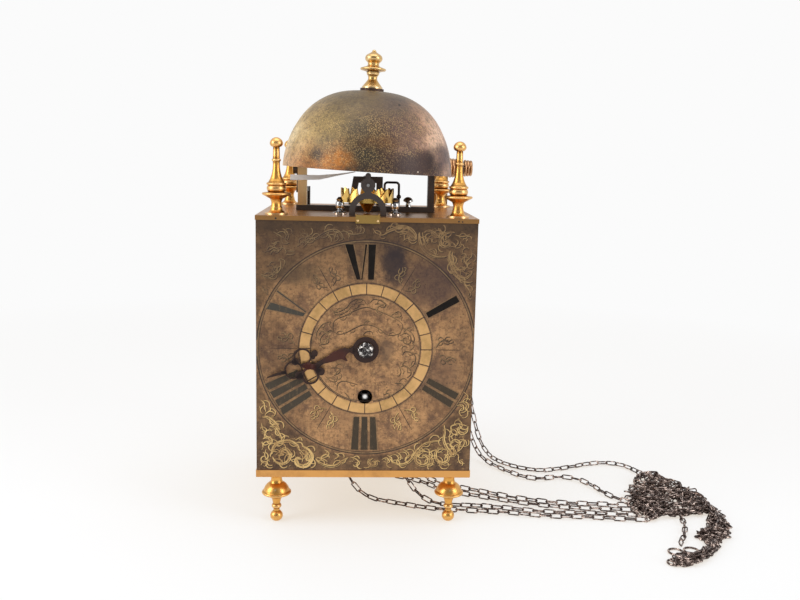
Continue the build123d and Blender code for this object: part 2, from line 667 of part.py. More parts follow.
contrate_leaves_y = SECOND_WHEEL_Y - (CONTRATE_LEAF_L - WHEEL_T) / 2
shaft = arbor(contrate, GOING_BAY, CONTRATE_ARBOR_R, PIVOT_R)
leaves_y = (contrate_leaves_y, contrate_leaves_y + CONTRATE_LEAF_L)
shaft += toothed(CONTRATE_LEAVES, SECOND_MODULE, contrate, *leaves_y, DOWN, leaves=True)
contrate_shaft = shaft

crown_pinion_r = CROWN_LEAVES * CONTRATE_MODULE / 2
contrate_r = CONTRATE_TEETH * CONTRATE_MODULE / 2
tooth_pitch_y = CROWN_Y - crown_pinion_r
rim_y = tooth_pitch_y - CONTRATE_MODULE * 1.3
web_y = rim_y - WHEEL_T
ring_in, ring_out = contrate_r - CONTRATE_RING / 2, contrate_r + CONTRATE_RING / 2


def contrate_tooth(k):
    """A tooth that stands out of the rim towards the crown pinion, with flat radial sides."""
    step = 2 * math.pi / CONTRATE_TEETH
    side, middle_a = 0.2 * step, math.radians(UP) + (k + 0.5) * step
    top_y = tooth_pitch_y + CONTRATE_MODULE * 0.9
    sections = []
    for y, share in ((rim_y, 1.0), (tooth_pitch_y, 1.0), (top_y, 0.45)):
        corners = []
        for r, s in ((ring_in, -1), (ring_out, -1), (ring_out, 1), (ring_in, 1)):
            a = middle_a + s * side * share
            corners.append((r * math.cos(a), y, CONTRATE_Z + r * math.sin(a)))
        sections.append(make_face(Polyline(*corners, close=True)))
    return loft(sections, ruled=True)


disc = rod_y(*contrate, web_y, rim_y, ring_out)
disc -= spoked(ring_in - 0.6, CONTRATE_ARBOR_R + 3.2, 3.0, contrate, web_y, rim_y)
disc += [contrate_tooth(k) for k in range(CONTRATE_TEETH)]
parts["contrate_wheel"] = disc + contrate_shaft

# ---- Crown wheel on its upright arbor, which runs in the potence and the top plate
crown_low = DECK + CROWN_ABOVE
crown_top = crown_low + CROWN_BAND + CROWN_TOOTH
pinion_z = CONTRATE_Z + contrate_r
shaft = rod((0, CROWN_Y, foot_hole[0] + 0.2), (0, CROWN_Y, crown_low + WHEEL_T), CROWN_ARBOR_R)
leaves = toothed(CROWN_LEAVES, CONTRATE_MODULE, (0, 0), -LEAF_L / 2, LEAF_L / 2, UP, leaves=True)
shaft += Location((0, CROWN_Y, pinion_z), (90, 0, 0)) * leaves
parts["crown_arbor"] = shaft

rim = rod((0, CROWN_Y, crown_low), (0, CROWN_Y, crown_top), CROWN_R)
rim -= rod((0, CROWN_Y, crown_low), (0, CROWN_Y, crown_top), CROWN_R - CROWN_WALL)
notch_low = crown_low + CROWN_BAND
step = 360 / CROWN_TEETH
notch_w = 2 * math.pi * CROWN_R / CROWN_TEETH
for k in range(CROWN_TEETH):
    lean_back = 0.18 * notch_w
    outline = [(0, crown_top + 1), (lean_back, notch_low)]
    outline += [(0.92 * notch_w, crown_top), (0.96 * notch_w, crown_top + 1)]
    notch = slab_y(outline, -CROWN_R - 4, -CROWN_R + 5)
    rim -= Pos(0, CROWN_Y, 0) * Rotation(0, 0, k * step) * notch
hub = rod((0, CROWN_Y, crown_low), (0, CROWN_Y, crown_low + WHEEL_T), COLLET_TOP_R)
cross_x, cross_y = CROWN_R - 1, CROWN_CROSS_W / 2
cross = block((-cross_x, cross_x), (CROWN_Y - cross_y, CROWN_Y + cross_y), (crown_low, crown_low + WHEEL_T))
cross += Pos(0, CROWN_Y, 0) * Rotation(0, 0, 90) * Pos(0, -CROWN_Y, 0) * cross
cone = turned((COLLET_TIP_R, DECK + COLLET_GAP), (COLLET_TOP_R, crown_low))
bore = rod((0, CROWN_Y, DECK), (0, CROWN_Y, crown_low + WHEEL_T + 1), CROWN_ARBOR_R)
parts["crown_wheel"] = rim + hub + cross + Pos(0, CROWN_Y, 0) * cone - bore

# ---- Verge with two pallets, its cocks, and the short bob pendulum behind the case
staff_y = (COCK_Y - COCK_T - 0.6, PENDULUM_Y + 3)
verge = rod_y(0, VERGE_Z, COCK_Y + COCK_T / 2 + AIR, REAR_COCK_Y - COCK_T / 2 - AIR, VERGE_R)
verge += rod_y(0, VERGE_Z, *staff_y, VERGE_PIVOT_R)
for y, side in ((CROWN_Y - CROWN_R, -1), (CROWN_Y + CROWN_R, 1)):
    flag = block((-0.6, 0.6), (y - PALLET_W / 2, y + PALLET_W / 2), (-PALLET_L, 0))
    verge += Pos(0, 0, VERGE_Z) * Rotation(0, 45 * side, 0) * flag
parts["verge"] = verge

bob_z = VERGE_Z - PENDULUM_L
pendulum = rod((0, PENDULUM_Y, bob_z - BOB_R - 7), (0, PENDULUM_Y, VERGE_Z), PENDULUM_R)
pendulum += rod_y(0, VERGE_Z, PENDULUM_Y - 2.2, PENDULUM_Y + 2.2, 3.4)
pendulum -= rod_y(0, VERGE_Z, PENDULUM_Y - 4, PENDULUM_Y + 4, VERGE_PIVOT_R + SEAT)
half_t = BOB_T / 2
lens = turned((BOB_R * 0.55, -half_t), (BOB_R, 0, BOB_R * 0.55, half_t))
lens = Location((0, PENDULUM_Y, bob_z), (-90, 0, 0)) * lens
nut_z = bob_z - BOB_R
lens += rod((0, PENDULUM_Y, nut_z - 3.4), (0, PENDULUM_Y, nut_z + 1), 3.0)
parts["pendulum"] = pendulum + lens

cock_arch_z = VERGE_Z - 20.2
cock_y = (COCK_Y - COCK_T / 2, COCK_Y + COCK_T / 2)
cock = rod_y(0, cock_arch_z, *cock_y, ARCH_R) - rod_y(0, cock_arch_z, *cock_y, ARCH_R - ARCH_W)
cock -= block((-ARCH_R - 1, ARCH_R + 1), cock_y, (cock_arch_z - ARCH_R - 1, cock_arch_z))
for side in (-1, 1):
    leg = sorted((side * (ARCH_R - ARCH_W), side * ARCH_R))
    cock += block(leg, cock_y, (DECK, cock_arch_z))
cock += rod_y(0, VERGE_Z, *cock_y, COCK_BOSS_R) + rod_y(0, VERGE_Z + 7.2, *cock_y, 2.2)
cock += block((-2.6, 2.6), cock_y, (cock_arch_z + ARCH_R - 1, VERGE_Z))
parts["verge_front_cock"] = cock - rod_y(0, VERGE_Z, *cock_y, VERGE_PIVOT_R + RUN)

rear_y = (REAR_COCK_Y - COCK_T / 2, REAR_COCK_Y + COCK_T / 2)
rear_path = [(-REAR_COCK_W, DECK), (-REAR_COCK_W + 4, VERGE_Z), (REAR_COCK_W, VERGE_Z), (REAR_COCK_W, DECK)]
cock = slab_y(strap(rear_path, REAR_COCK_BAR), *rear_y)
cock -= block((-40, 40), rear_y, (DECK - 9, DECK))
parts["verge_rear_cock"] = cock - rod_y(0, VERGE_Z, *rear_y, VERGE_PIVOT_R + RUN)

# ---- Small polished steel work on the top plate
column = turned((5.6, 0), (5.6, 1.2), (2.6, 2.2), (2.0, 3.4), (3.6, 7.0, 2.4, 10.6), (3.0, 11.6), (1.2, 13.6))
columns = [Pos(s * COLUMN_X, COLUMN_Y, DECK) * column for s in (-1, 1)]
parts["steel_columns"] = Compound(children=[Part(c.wrapped) for c in columns])
staple_path = ((STAPLE_X0, 0), (STAPLE_X0, STAPLE_H), (STAPLE_X1, STAPLE_H), (STAPLE_X1, 0))
staple = [(x, STAPLE_Y, z) for x, z in staple_path]
wire = FilletPolyline(*staple, radius=2.5)
loop = sweep(Plane(origin=wire @ 0, z_dir=wire % 0) * Circle(1.0), path=wire)
loop += Pos(STAPLE_X1, STAPLE_Y, STAPLE_H / 2) * Sphere(2.0)
parts["wire_staple"] = Pos(0, 0, DECK) * loop
stud_knob = turned((2.6, 0), (2.0, 1.8), (1.7, 3.4), (4.4, 4.6), dome(4.4, 4.6, 8.2))
parts["stand_screw"] = Pos(SCREW_X, BELL_Y, DECK + STAND_BASE_T) * stud_knob

# ---- Motion work: post, hour wheel with its pipe and lifting pins, hand, collet and pin
post_front = -HALF_D - POST_END
hour_y = report_y + (REPORT_L - WHEEL_T) / 2
post = rod_y(0, HOUR_Z, post_front, FRONT_FACE, POST_R)
post += rod_y(0, HOUR_Z, FRONT_FACE, FRONT_FACE + BAR_T - 0.5, POST_TAIL_R)
post += rod_y(0, HOUR_Z, FRONT_FACE - 1.6, FRONT_FACE, POST_R + 2.4)
pin_y = post_front + 1.6
parts["hour_post"] = post + rod((-5.4, pin_y, HOUR_Z), (5.4, pin_y, HOUR_Z), PIN_R / 2)

hour = (0, HOUR_Z)
bore = POST_R + RUN
hour_wheel = wheel(MOTION_TEETH, MOTION_MODULE, hour, hour_y, WHEEL_T, DOWN, bore)
pipe_front = -HALF_D - PIPE_STAND
hour_wheel += rod_y(*hour, pipe_front, hour_y, PIPE_R)
hour_wheel -= rod_y(*hour, pipe_front, hour_y + WHEEL_T, bore)
lift_r = MOTION_TEETH * MOTION_MODULE / 2 - 3.6
for k in range(LIFTING_PINS):
    a = 2 * math.pi * (k + 0.5) / LIFTING_PINS
    x, z = lift_r * math.cos(a), HOUR_Z + lift_r * math.sin(a)
    hour_wheel += rod_y(x, z, hour_y + WHEEL_T - 0.5, hour_y + WHEEL_T + LIFT_PIN_L, PIN_R * 0.8)
parts["hour_wheel"] = hour_wheel


def ring_y(centre, y0, y1, outer, inner):
    return rod_y(*centre, y0, y1, outer) - rod_y(*centre, y0, y1, inner)


def hand_solid():
    """Pierced iron hand, drawn along +X from its boss and turned to its place on the dial."""
    y1 = -HALF_D - HAND_STAND
    y0 = y1 - HAND_T
    blade = [(HAND_BOSS_R - 1, 2.4), (20, 4.2), (30, 4.6), (36, 2.6), (39.5, 5.6), (42.5, 2.4)]
    outline = blade + [(x, -z) for x, z in reversed(blade)]
    body = slab_y(outline, y0, y1) + rod_y(0, 0, y0, y1, HAND_BOSS_R)
    body += slab_y([(40, 1.7), (57, 1.7), (57, -1.7), (40, -1.7)], y0, y1)
    for side in (-1, 1):
        body += rod_y(39.5, side * 7.6, y0, y1, 2.9)
        body += ring_y((48.5, side * HAND_RING_R * 1.02), y0, y1, HAND_RING_R, HAND_RING_R - 1.9)
    body += ring_y((HAND_L - HAND_RING_R, 0), y0, y1, HAND_RING_R, HAND_RING_R - 1.9)
    body -= rod_y(0, 0, y0, y1, PIPE_R + SEAT)
    return body


# a turn about Y by minus the angle carries +X towards +Z
parts["hand"] = Location((0, 0, HOUR_Z), (0, -HAND_ANGLE, 0)) * hand_solid()
collet = turned((COLLET_R, 0), (COLLET_R, 0.8), (COLLET_R * 0.75, 2.0, POST_R + 1.0, 2.4), bore=POST_R + RUN)
parts["hand_collet"] = Location((0, pipe_front, HOUR_Z), (90, 0, 0)) * collet

# ---- Strike train: great wheel with hammer pins, hoop wheel, warning wheel, fly
hoop, warning, fly = (0, HOOP_Z), (0, WARNING_Z), (0, FLY_Z)
strike_y = cylinder_set(STRIKE_CHAIN_Y, GREAT_T, 1)
strike_wheel = wheel(STRIKE_TEETH, STRIKE_MODULE, great, strike_y, GREAT_T, UP, GREAT_ARBOR_R)
pin_circle = STRIKE_TEETH * STRIKE_MODULE / 2 - 4.4
for k in range(HAMMER_PINS):
    a = 2 * math.pi * (k + 0.5) / HAMMER_PINS
    x, z = pin_circle * math.cos(a), GREAT_Z + pin_circle * math.sin(a)
    strike_wheel += rod_y(x, z, strike_y + GREAT_T - 0.5, strike_y + GREAT_T + HAMMER_PIN_L, PIN_R)
shaft = rod_y(*great, STRIKE_BAY[0] + AIR, STRIKE_BAY[1] - AIR, GREAT_ARBOR_R)
shaft += rod_y(*great, STRIKE_BAY[0] - PIVOT_L, COUNT_Y + COUNT_T, GREAT_PIVOT_R)
shaft += toothed(COUNT_PINION, COUNT_MODULE, great, COUNT_Y, COUNT_Y + COUNT_T, UP, leaves=True)
strike_wheel += sprocket(great, STRIKE_CHAIN_Y, GREAT_ARBOR_R)
parts["strike_great_wheel"] = strike_wheel + shaft


def strike_arbor(centre, leaves, module, leaves_y, wheel_part, radius=ARBOR_R):
    shaft = arbor(centre, STRIKE_BAY, radius, min(PIVOT_R, radius))
    shaft += toothed(leaves, module, centre, leaves_y, leaves_y + LEAF_L, DOWN, leaves=True)
    return shaft + wheel_part


hoop_leaves_y = strike_y - (LEAF_L - GREAT_T) / 2
hoop_wheel = wheel(HOOP_TEETH, HOOP_MODULE, hoop, HOOP_WHEEL_Y, WHEEL_T, UP, ARBOR_R - 0.01)
hoop_rim = ring_y(hoop, HOOP_WHEEL_Y - HOOP_RIM_L, HOOP_WHEEL_Y, HOOP_RIM_R, HOOP_RIM_R - 1.4)
hoop_rim -= block((-3.5, 3.5), (HOOP_WHEEL_Y - HOOP_RIM_L, HOOP_WHEEL_Y), (HOOP_Z, HOOP_Z + HOOP_RIM_R + 2))
parts["hoop_wheel"] = strike_arbor(hoop, HOOP_LEAVES, STRIKE_MODULE, hoop_leaves_y, hoop_wheel + hoop_rim)
warning_leaves_y = HOOP_WHEEL_Y - (LEAF_L - WHEEL_T) / 2
warning_bore = THIN_ARBOR_R - 0.01
warning_wheel = wheel(WARNING_TEETH, WARNING_MODULE, warning, WARNING_WHEEL_Y, WHEEL_T, UP, warning_bore)
parts["warning_wheel"] = strike_arbor(
    warning, WARNING_LEAVES, HOOP_MODULE, warning_leaves_y, warning_wheel, THIN_ARBOR_R
)
fly_leaves_y = WARNING_WHEEL_Y - (LEAF_L - WHEEL_T) / 2
vane = block((-FLY_R, FLY_R), (FLY_Y, FLY_Y + FLY_L), (FLY_Z - 0.4, FLY_Z + 0.4))
vane += rod_y(*fly, FLY_Y, FLY_Y + FLY_L, 2.2)
parts["fly"] = strike_arbor(fly, FLY_LEAVES, WARNING_MODULE, fly_leaves_y, vane, FLY_ARBOR_R)

# ---- Count wheel on its own stud behind the rear bar
count = (0, COUNT_Z)
stud = rod_y(*count, REAR_FACE, COUNT_STUD_END, POST_R - 0.6)
stud += rod_y(*count, COUNT_STUD_END, COUNT_STUD_END + 1.2, POST_R + 1.2)
parts["rear_bar"] += stud
gear = toothed(COUNT_TEETH, COUNT_MODULE, count, COUNT_Y, COUNT_Y + COUNT_T, DOWN)
disc_y = COUNT_Y + COUNT_T
disc = rod_y(*count, disc_y, disc_y + WHEEL_T, COUNT_DISC_R)
blows, total = 0, COUNT_BLOWS
for hour_struck in range(1, 7):
    blows += hour_struck
    a = 2 * math.pi * blows / total
    x, z = COUNT_DISC_R * math.cos(a), COUNT_Z + COUNT_DISC_R * math.sin(a)
    disc -= rod_y(x, z, disc_y, disc_y + WHEEL_T, 2.2)
disc -= spoked(COUNT_DISC_R - 6, 8, 4, count, disc_y, disc_y + WHEEL_T)
parts["count_wheel"] = gear + disc - rod_y(*count, COUNT_Y, disc_y + WHEEL_T, POST_R - 0.6 + RUN)

# ---- Hammer: upright arbor in the case, arm and head inside the bell
hammer_top = DECK + HAMMER_RISE
hammer = rod((HAMMER_X, HAMMER_Y, FLOOR_TOP + AIR), (HAMMER_X, HAMMER_Y, hammer_top), HAMMER_R)
hammer += rod((HAMMER_X, HAMMER_Y, FOOT_H + 2.4), (HAMMER_X, HAMMER_Y, FLOOR_TOP + AIR), PIVOT_R)
reach = math.atan2(HAMMER_HEAD_Y - HAMMER_Y, HAMMER_HEAD_X - HAMMER_X)
length = math.hypot(HAMMER_HEAD_Y - HAMMER_Y, HAMMER_HEAD_X - HAMMER_X)
arm = block((-HAMMER_R, length + 1.5), (-1.6, 1.6), (hammer_top - 4, hammer_top))
hammer += Location((HAMMER_X, HAMMER_Y, 0), (0, 0, math.degrees(reach))) * arm
head_z = stand_z + HAMMER_HEAD_H
hammer += rod((HAMMER_HEAD_X, HAMMER_HEAD_Y, hammer_top - 4), (HAMMER_HEAD_X, HAMMER_HEAD_Y, head_z), 1.5)
hammer += Pos(HAMMER_HEAD_X, HAMMER_HEAD_Y, head_z) * Rotation(0, 90, 0) * Cylinder(4.6, 9.0)
tail_x = -pin_circle - PIN_R - TAIL_GAP
tail = block((HAMMER_X, tail_x), (HAMMER_Y - 1.5, HAMMER_Y + 1.5), (GREAT_Z - 3, GREAT_Z + 3))
parts["hammer"] = hammer + tail

spring_y = (BELL_Y - STAND_W / 2 - SPRING_T, BELL_Y - STAND_W / 2)
spring_z = DECK + 27.0
leaf = [(-64, 2.3), (-40, 2.2), (-24, 3.8), (-10, 5.8), (-10, 5.2), (-24, 2.2), (-40, -1.6), (-64, -2.3)]
parts["hammer_spring"] = slab_y([(x, spring_z + z) for x, z in leaf], *spring_y)

# ---- Detent: one arbor with a lifting arm in front, a locking arm and a count arm behind
detent = rod_y(DETENT_X, DETENT_Z, GOING_BAY[0] + AIR, STRIKE_BAY[1] - AIR, ARBOR_R)
detent += rod_y(DETENT_X, DETENT_Z, LIFT_ARM_Y, COUNT_ARM_Y + ARM_T, PIVOT_R)


def arm_to(tip, y, hub=3.2, width=3.0):
    """A flat arm from the detent arbor to a tip (x, z)."""
    path = strap([(DETENT_X, DETENT_Z), tip], width)
    return slab_y(path, y, y + ARM_T) + rod_y(DETENT_X, DETENT_Z, y, y + ARM_T, hub)


def beside(centre, radius, towards):
    a = math.radians(towards)
    return centre[0] + radius * math.cos(a), centre[1] + radius * math.sin(a)


lift_tip = beside(hour, lift_r + PIN_R + 2.6, 46)
lock_tip = beside(hoop, HOOP_RIM_R + 2.4, 25)
count_tip = beside(count, COUNT_DISC_R + 2.6, 45)
lock_y = HOOP_WHEEL_Y - HOOP_RIM_L
detent += arm_to(lift_tip, LIFT_ARM_Y) + arm_to(lock_tip, lock_y) + arm_to(count_tip, COUNT_ARM_Y)
parts["detent"] = detent

# ---- Alarm drum on its bracket behind the right-hand rear finial
boss_x = (DRUM_X0 - 18, DRUM_X0 - 1.6)
bracket_y = (HALF_D + PLATE_LIP, HALF_D + PLATE_LIP + 3)
bracket = block(boss_x, bracket_y, (ROOF - 14, DRUM_Z + 4.5))
bracket += block(boss_x, (bracket_y[0], DRUM_Y), (DRUM_Z - 4.5, DRUM_Z + 4.5))
bracket += rod((boss_x[0], DRUM_Y, DRUM_Z), (boss_x[1], DRUM_Y, DRUM_Z), 5.0)
bracket -= rod((boss_x[0], DRUM_Y, DRUM_Z), (boss_x[1], DRUM_Y, DRUM_Z), ARBOR_R + RUN)
parts["alarm_bracket"] = bracket


def drum_radius(x):
    return DRUM_R0 + (DRUM_R1 - DRUM_R0) * (x - DRUM_X0) / (DRUM_X1 - DRUM_X0)


groove = (ALARM_CHAIN_X - CHAIN_W / 2 - GROOVE_GAP, ALARM_CHAIN_X + CHAIN_W / 2 + GROOVE_GAP)
rib_steps = [(ARBOR_R + 1.4, DRUM_X0 - 0.8), (ARBOR_R + 1.4, DRUM_X0)]
for low, high in ((DRUM_X0, groove[0]), (groove[1], DRUM_X1)):
    if rib_steps[-1][1] > DRUM_X0:
        rib_steps += [(DRUM_GROOVE_R, groove[0]), (DRUM_GROOVE_R, groove[1])]
    rib_steps.append((drum_radius(low) - RIB_DEPTH, low))
    rib = (high - low) / DRUM_RIBS
    for k in range(DRUM_RIBS):
        x0, x1 = low + k * rib, low + (k + 1) * rib
        rib_steps.append((drum_radius((x0 + x1) / 2), (x0 + x1) / 2, drum_radius(x1) - RIB_DEPTH, x1))
drum = turned(*rib_steps)
drum = Location((0, DRUM_Y, DRUM_Z), (0, 90, 0)) * drum
shaft = rod((boss_x[0] - 3, DRUM_Y, DRUM_Z), (DRUM_X0, DRUM_Y, DRUM_Z), ARBOR_R)
shaft += rod((boss_x[0] - 3, DRUM_Y, DRUM_Z), (boss_x[0] - AIR, DRUM_Y, DRUM_Z), 3.6)
parts["alarm_drum"] = drum + shaft

# ---- Wall fittings: a flat iron hoop to hang by and two spurs that hold the clock off the wall
hoop_z = (DECK - TOP_T, DECK)
outer, inner = HOOP_W / 2, HOOP_W / 2 - 4.0
rear = HALF_D + PLATE_LIP
wall_hoop = block((-outer, outer), (rear, rear + HOOP_L), hoop_z)
wall_hoop -= block((-inner, inner), (rear, rear + HOOP_L - 4.0), hoop_z)
parts["wall_hoop"] = wall_hoop
spur = turned((3.4, 0), (3.4, 2), (2.2, 3.2), (2.2, SPUR_L - 6), (0.3, SPUR_L))
spurs = []
for side in (-1, 1):
    spurs.append(Location((side * POST_X, HALF_D, FLOOR_TOP + 14), (-90, 0, 0)) * spur)
parts["wall_spurs"] = Compound(children=[Part(s.wrapped) for s in spurs])


# ---- Chains: even tubes along the runs, and the pile that they end in
def tube(points):
    """A round tube along points, with an arc at each corner as large as its runs allow."""
    stops, radii = [Vector(*p) for p in points], []
    for before, here, after in zip(stops, stops[1:], stops[2:]):
        turn = math.radians((here - before).get_angle(after - here))
        radii.append(0.45 * min((here - before).length, (after - here).length) / math.tan(turn / 2))
    path = FilletPolyline(*stops, radius=radii)
    swept = sweep(Plane(origin=path @ 0, z_dir=path % 0) * Circle(CHAIN_W / 2), path=path)
    section = math.pi * (CHAIN_W / 2) ** 2
    share = swept.volume / section / path.length
    print("tube", round(path.length), "mm, volume over section x length", round(share, 4))
    print("  radii", [round(r) for r in radii])
    return swept


LIE = CHAIN_W / 2 + 0.1
OVER = CHAIN_R * math.tan(math.pi / 8)


def over_sprocket(y):
    """The chain's way over a sprocket, from the left-hand hole to the right-hand one."""
    low, high = GREAT_Z + OVER, GREAT_Z + CHAIN_R
    left = [(-CHAIN_R, y, FLOOR_TOP - 2), (-CHAIN_R, y, low), (-OVER, y, high)]
    return left + [(-x, y, z) for x, y, z in reversed(left)]


def on_floor(points):
    return [(x, y, LIE) for x, y in points]


going_left = on_floor([(236, -76), (217, -74.5), (195, -71), (172, -69.5), (150, -68), (129, -62.5)])
going_left += on_floor([(108, -59), (86, -56.5), (62, -54), (42, -47), (24, -39), (9, -32)])
going_left += [(-4, -28.5, 9), (-15, GOING_CHAIN_Y, 26)]
going_right = [(35, GOING_CHAIN_Y, 25), (45, -29, 9.5), (56, -37, LIE + 0.6)]
going_right += on_floor([(68, -44), (83, -46), (98, -46.5), (113, -50), (131, -53.5), (152, -60)])
going_right += on_floor([(175, -61), (198, -62.5), (218, -65.5), (232, -65)])
parts["going_chain"] = tube(going_left + over_sprocket(GOING_CHAIN_Y) + going_right)

strike_left = on_floor([(230, -55), (208, -53.5), (186, -51.5), (163, -48), (143, -42), (125, -35.5)])
strike_left += on_floor([(109, -28), (92, -21), (76, -13), (63, -1), (52, 12), (37, 21), (20, 26)])
strike_left += [(4, 28.5, 6), (-12, STRIKE_CHAIN_Y, 23)]
strike_right = [(36, STRIKE_CHAIN_Y, 25), (46, 27, 10), (56, 21, LIE + 1)]
strike_right += on_floor([(67, 10.5), (78, 0), (91, -7), (106, -14), (122, -23), (140, -32)])
strike_right += on_floor([(160, -38.5), (183, -42), (207, -43.5), (230, -45)])
parts["strike_chain"] = tube(strike_left + over_sprocket(STRIKE_CHAIN_Y) + strike_right)

wrap_r = DRUM_GROOVE_R + AIR + CHAIN_W / 2
wrap = wrap_r * math.tan(math.pi / 8)
x, near, far = ALARM_CHAIN_X, DRUM_Y - wrap_r, DRUM_Y + wrap_r
alarm_near = on_floor([(233, -40), (219, -24), (213, -5), (206, 11), (194, 21.5), (179, 21)])
alarm_near += on_floor([(165, 16.5), (151, 22), (139, 36), (128, 53)])
alarm_near += [(118, 68, 5), (110, 79, 18), (103, 86, 44), (98, 89, 84), (94, near, 134)]
alarm_near += [(x + 0.8, near, 188), (x, near, 240)]
alarm_over = [(x, near, DRUM_Z + wrap), (x, DRUM_Y - wrap, DRUM_Z + wrap_r)]
alarm_over += [(x, DRUM_Y + wrap, DRUM_Z + wrap_r), (x, far, DRUM_Z + wrap)]
alarm_far = [(x, far, 236), (94, far, 180), (99.5, 106, 122), (106.5, 105, 76), (113, 103, 40)]
alarm_far += [(119, 97, 15), (126, 84, 4), *on_floor([(132, 68), (142, 54), (156, 43), (172, 38)])]
alarm_far += on_floor([(188, 43), (202, 48), (218, 56), (235, 61), (251, 58), (262, 45), (264, 36)])
parts["alarm_chain"] = tube(alarm_near + alarm_over + alarm_far)

# ---- Chain pile: a mat one link deep, strands that double back over it, and two split rings
heap_edge = [(228, -45), (232, -20), (244, 5), (257, 26), (270, 36), (284, 28), (294, 8), (305, -12)]
heap_edge += [(307, -42), (301, -60), (287, -69), (267, -74), (246, -77), (236, -80), (228, -64)]
clump_edge = [(303, -38), (308, -60), (303, -92), (294, -112), (280, -120), (267, -114), (262, -102)]
clump_edge += [(271, -94), (281, -91), (286, -72), (290, -50)]
tail_edge = [(291, -104), (281, -124), (262, -147), (247, -159), (229, -160), (225, -152), (233, -141)]
tail_edge += [(242, -138), (252, -138), (262, -129), (267, -112)]


def mat(edge):
    body = slab_z(edge, 0, MAT_H)
    return chamfer(body.faces().sort_by(Axis.Z)[-1].outer_wire().edges(), MAT_EDGE)


def on_mat(points):
    return [(x, y, PILE_H - CHAIN_W / 2) for x, y in points]


def split_ring(x, y):
    return Pos(x, y, RING_BAR_R + 0.2) * Torus(RING_R, RING_BAR_R)


heap_strand = on_mat([(235, -52), (249, -68), (268, -67), (286, -62), (297, -48), (299, -30), (288, -22)])
heap_strand += on_mat([(271, -33), (252, -42), (239, -34), (241, -18), (256, -16), (276, -20), (292, -8)])
heap_strand += on_mat([(284, 7), (268, -2), (252, -1), (256, 12), (266, 24), (279, 22)])
tail_strand = on_mat([(299, -58), (296, -76), (289, -97), (275, -101), (271, -110), (284, -115)])
end_strand = on_mat([(275, -125), (262, -139), (247, -151), (234, -153)])
loose_end = on_floor([(268, -66), (266, -80), (262, -94), (256, -108), (247, -123)])
pile = mat(heap_edge) + mat(clump_edge) + mat(tail_edge)
for run in (heap_strand, tail_strand, end_strand, loose_end):
    pile += tube(run)
for ring_place in ((240, -133), (253, -131)):
    pile += split_ring(*ring_place)
parts["chain_pile"] = pile

# ---- Write every piece
os.makedirs("parts", exist_ok=True)
for name, solid in parts.items():
    export_step(solid, f"parts/{name}.step")
print(len(parts), "pieces")
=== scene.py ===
import math
import random

import bpy
from mathutils import Matrix, Vector


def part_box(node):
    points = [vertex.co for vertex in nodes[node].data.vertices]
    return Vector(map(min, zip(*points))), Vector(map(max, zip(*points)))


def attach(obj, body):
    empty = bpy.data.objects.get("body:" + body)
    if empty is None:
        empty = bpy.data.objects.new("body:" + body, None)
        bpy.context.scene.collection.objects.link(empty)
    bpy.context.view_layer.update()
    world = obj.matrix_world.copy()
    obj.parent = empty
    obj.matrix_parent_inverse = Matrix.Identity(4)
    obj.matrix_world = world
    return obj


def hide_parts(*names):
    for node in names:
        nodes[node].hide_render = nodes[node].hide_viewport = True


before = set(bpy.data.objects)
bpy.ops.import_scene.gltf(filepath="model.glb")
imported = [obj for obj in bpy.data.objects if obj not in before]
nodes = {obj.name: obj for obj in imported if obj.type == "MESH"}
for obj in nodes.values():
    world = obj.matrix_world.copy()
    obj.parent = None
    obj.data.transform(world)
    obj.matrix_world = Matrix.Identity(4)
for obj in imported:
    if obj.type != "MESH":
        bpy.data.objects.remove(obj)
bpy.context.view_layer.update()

# ---- Camera
# It stands two thirds of a metre in front of the dial and 150 mm over the dial's middle. The clock's
# front is square to it within a few degrees, and it looks down by nine.
MM = 0.001
lens = bpy.data.cameras.new("camera")
lens.sensor_width, lens.lens = 36.0, 39.47
lens.clip_start, lens.clip_end = 0.01, 20.0
camera = bpy.data.objects.new("camera", lens)
bpy.context.scene.collection.objects.link(camera)
across, upward = Vector((0.99845, -0.05092, 0.02241)), Vector((-0.01377, 0.16422, 0.98633))
turn = Matrix((across, upward, across.cross(upward))).transposed().to_4x4()
camera.matrix_world = Matrix.Translation(Vector((-10.7, -754.8, 297.4)) * MM) @ turn
bpy.context.scene.camera = camera

# ---- Chains
# Three iron chains of bent wire links. Two run over the sprockets inside the case and out through
# the floor plate, the third over the alarm drum, and all end in one heap to the clock's right.
LINK_L, LINK_W, WIRE = 11.2, 5.1, 1.2
PITCH = LINK_L - 2 * WIRE
GOING_CHAIN = [
    (236, -76, 2.6), (217, -74.5, 2.6), (195, -71, 2.6), (172, -69.5, 2.6), (150, -68, 2.6),
    (129, -62.5, 2.6), (108, -59, 2.6), (86, -56.5, 2.6), (62, -54, 2.6), (42, -47, 2.6), (24, -39, 2.6),
    (9, -32, 2.6), (-4, -28.5, 9), (-15, -28, 26), (-25, -28, 46), (-25, -28, 60), (-25, -28, 106),
    (-25, -28, 119.1), (-10.4, -28, 133.7), (10.4, -28, 133.7), (25, -28, 119.1), (25, -28, 106),
    (25, -28, 60), (25, -28, 46), (35, -28, 25), (45, -29, 9.5), (56, -37, 3.2), (68, -44, 2.6),
    (83, -46, 2.6), (98, -46.5, 2.6), (113, -50, 2.6), (131, -53.5, 2.6), (152, -60, 2.6), (175, -61, 2.6),
    (198, -62.5, 2.6), (218, -65.5, 2.6), (232, -65, 2.6),
]
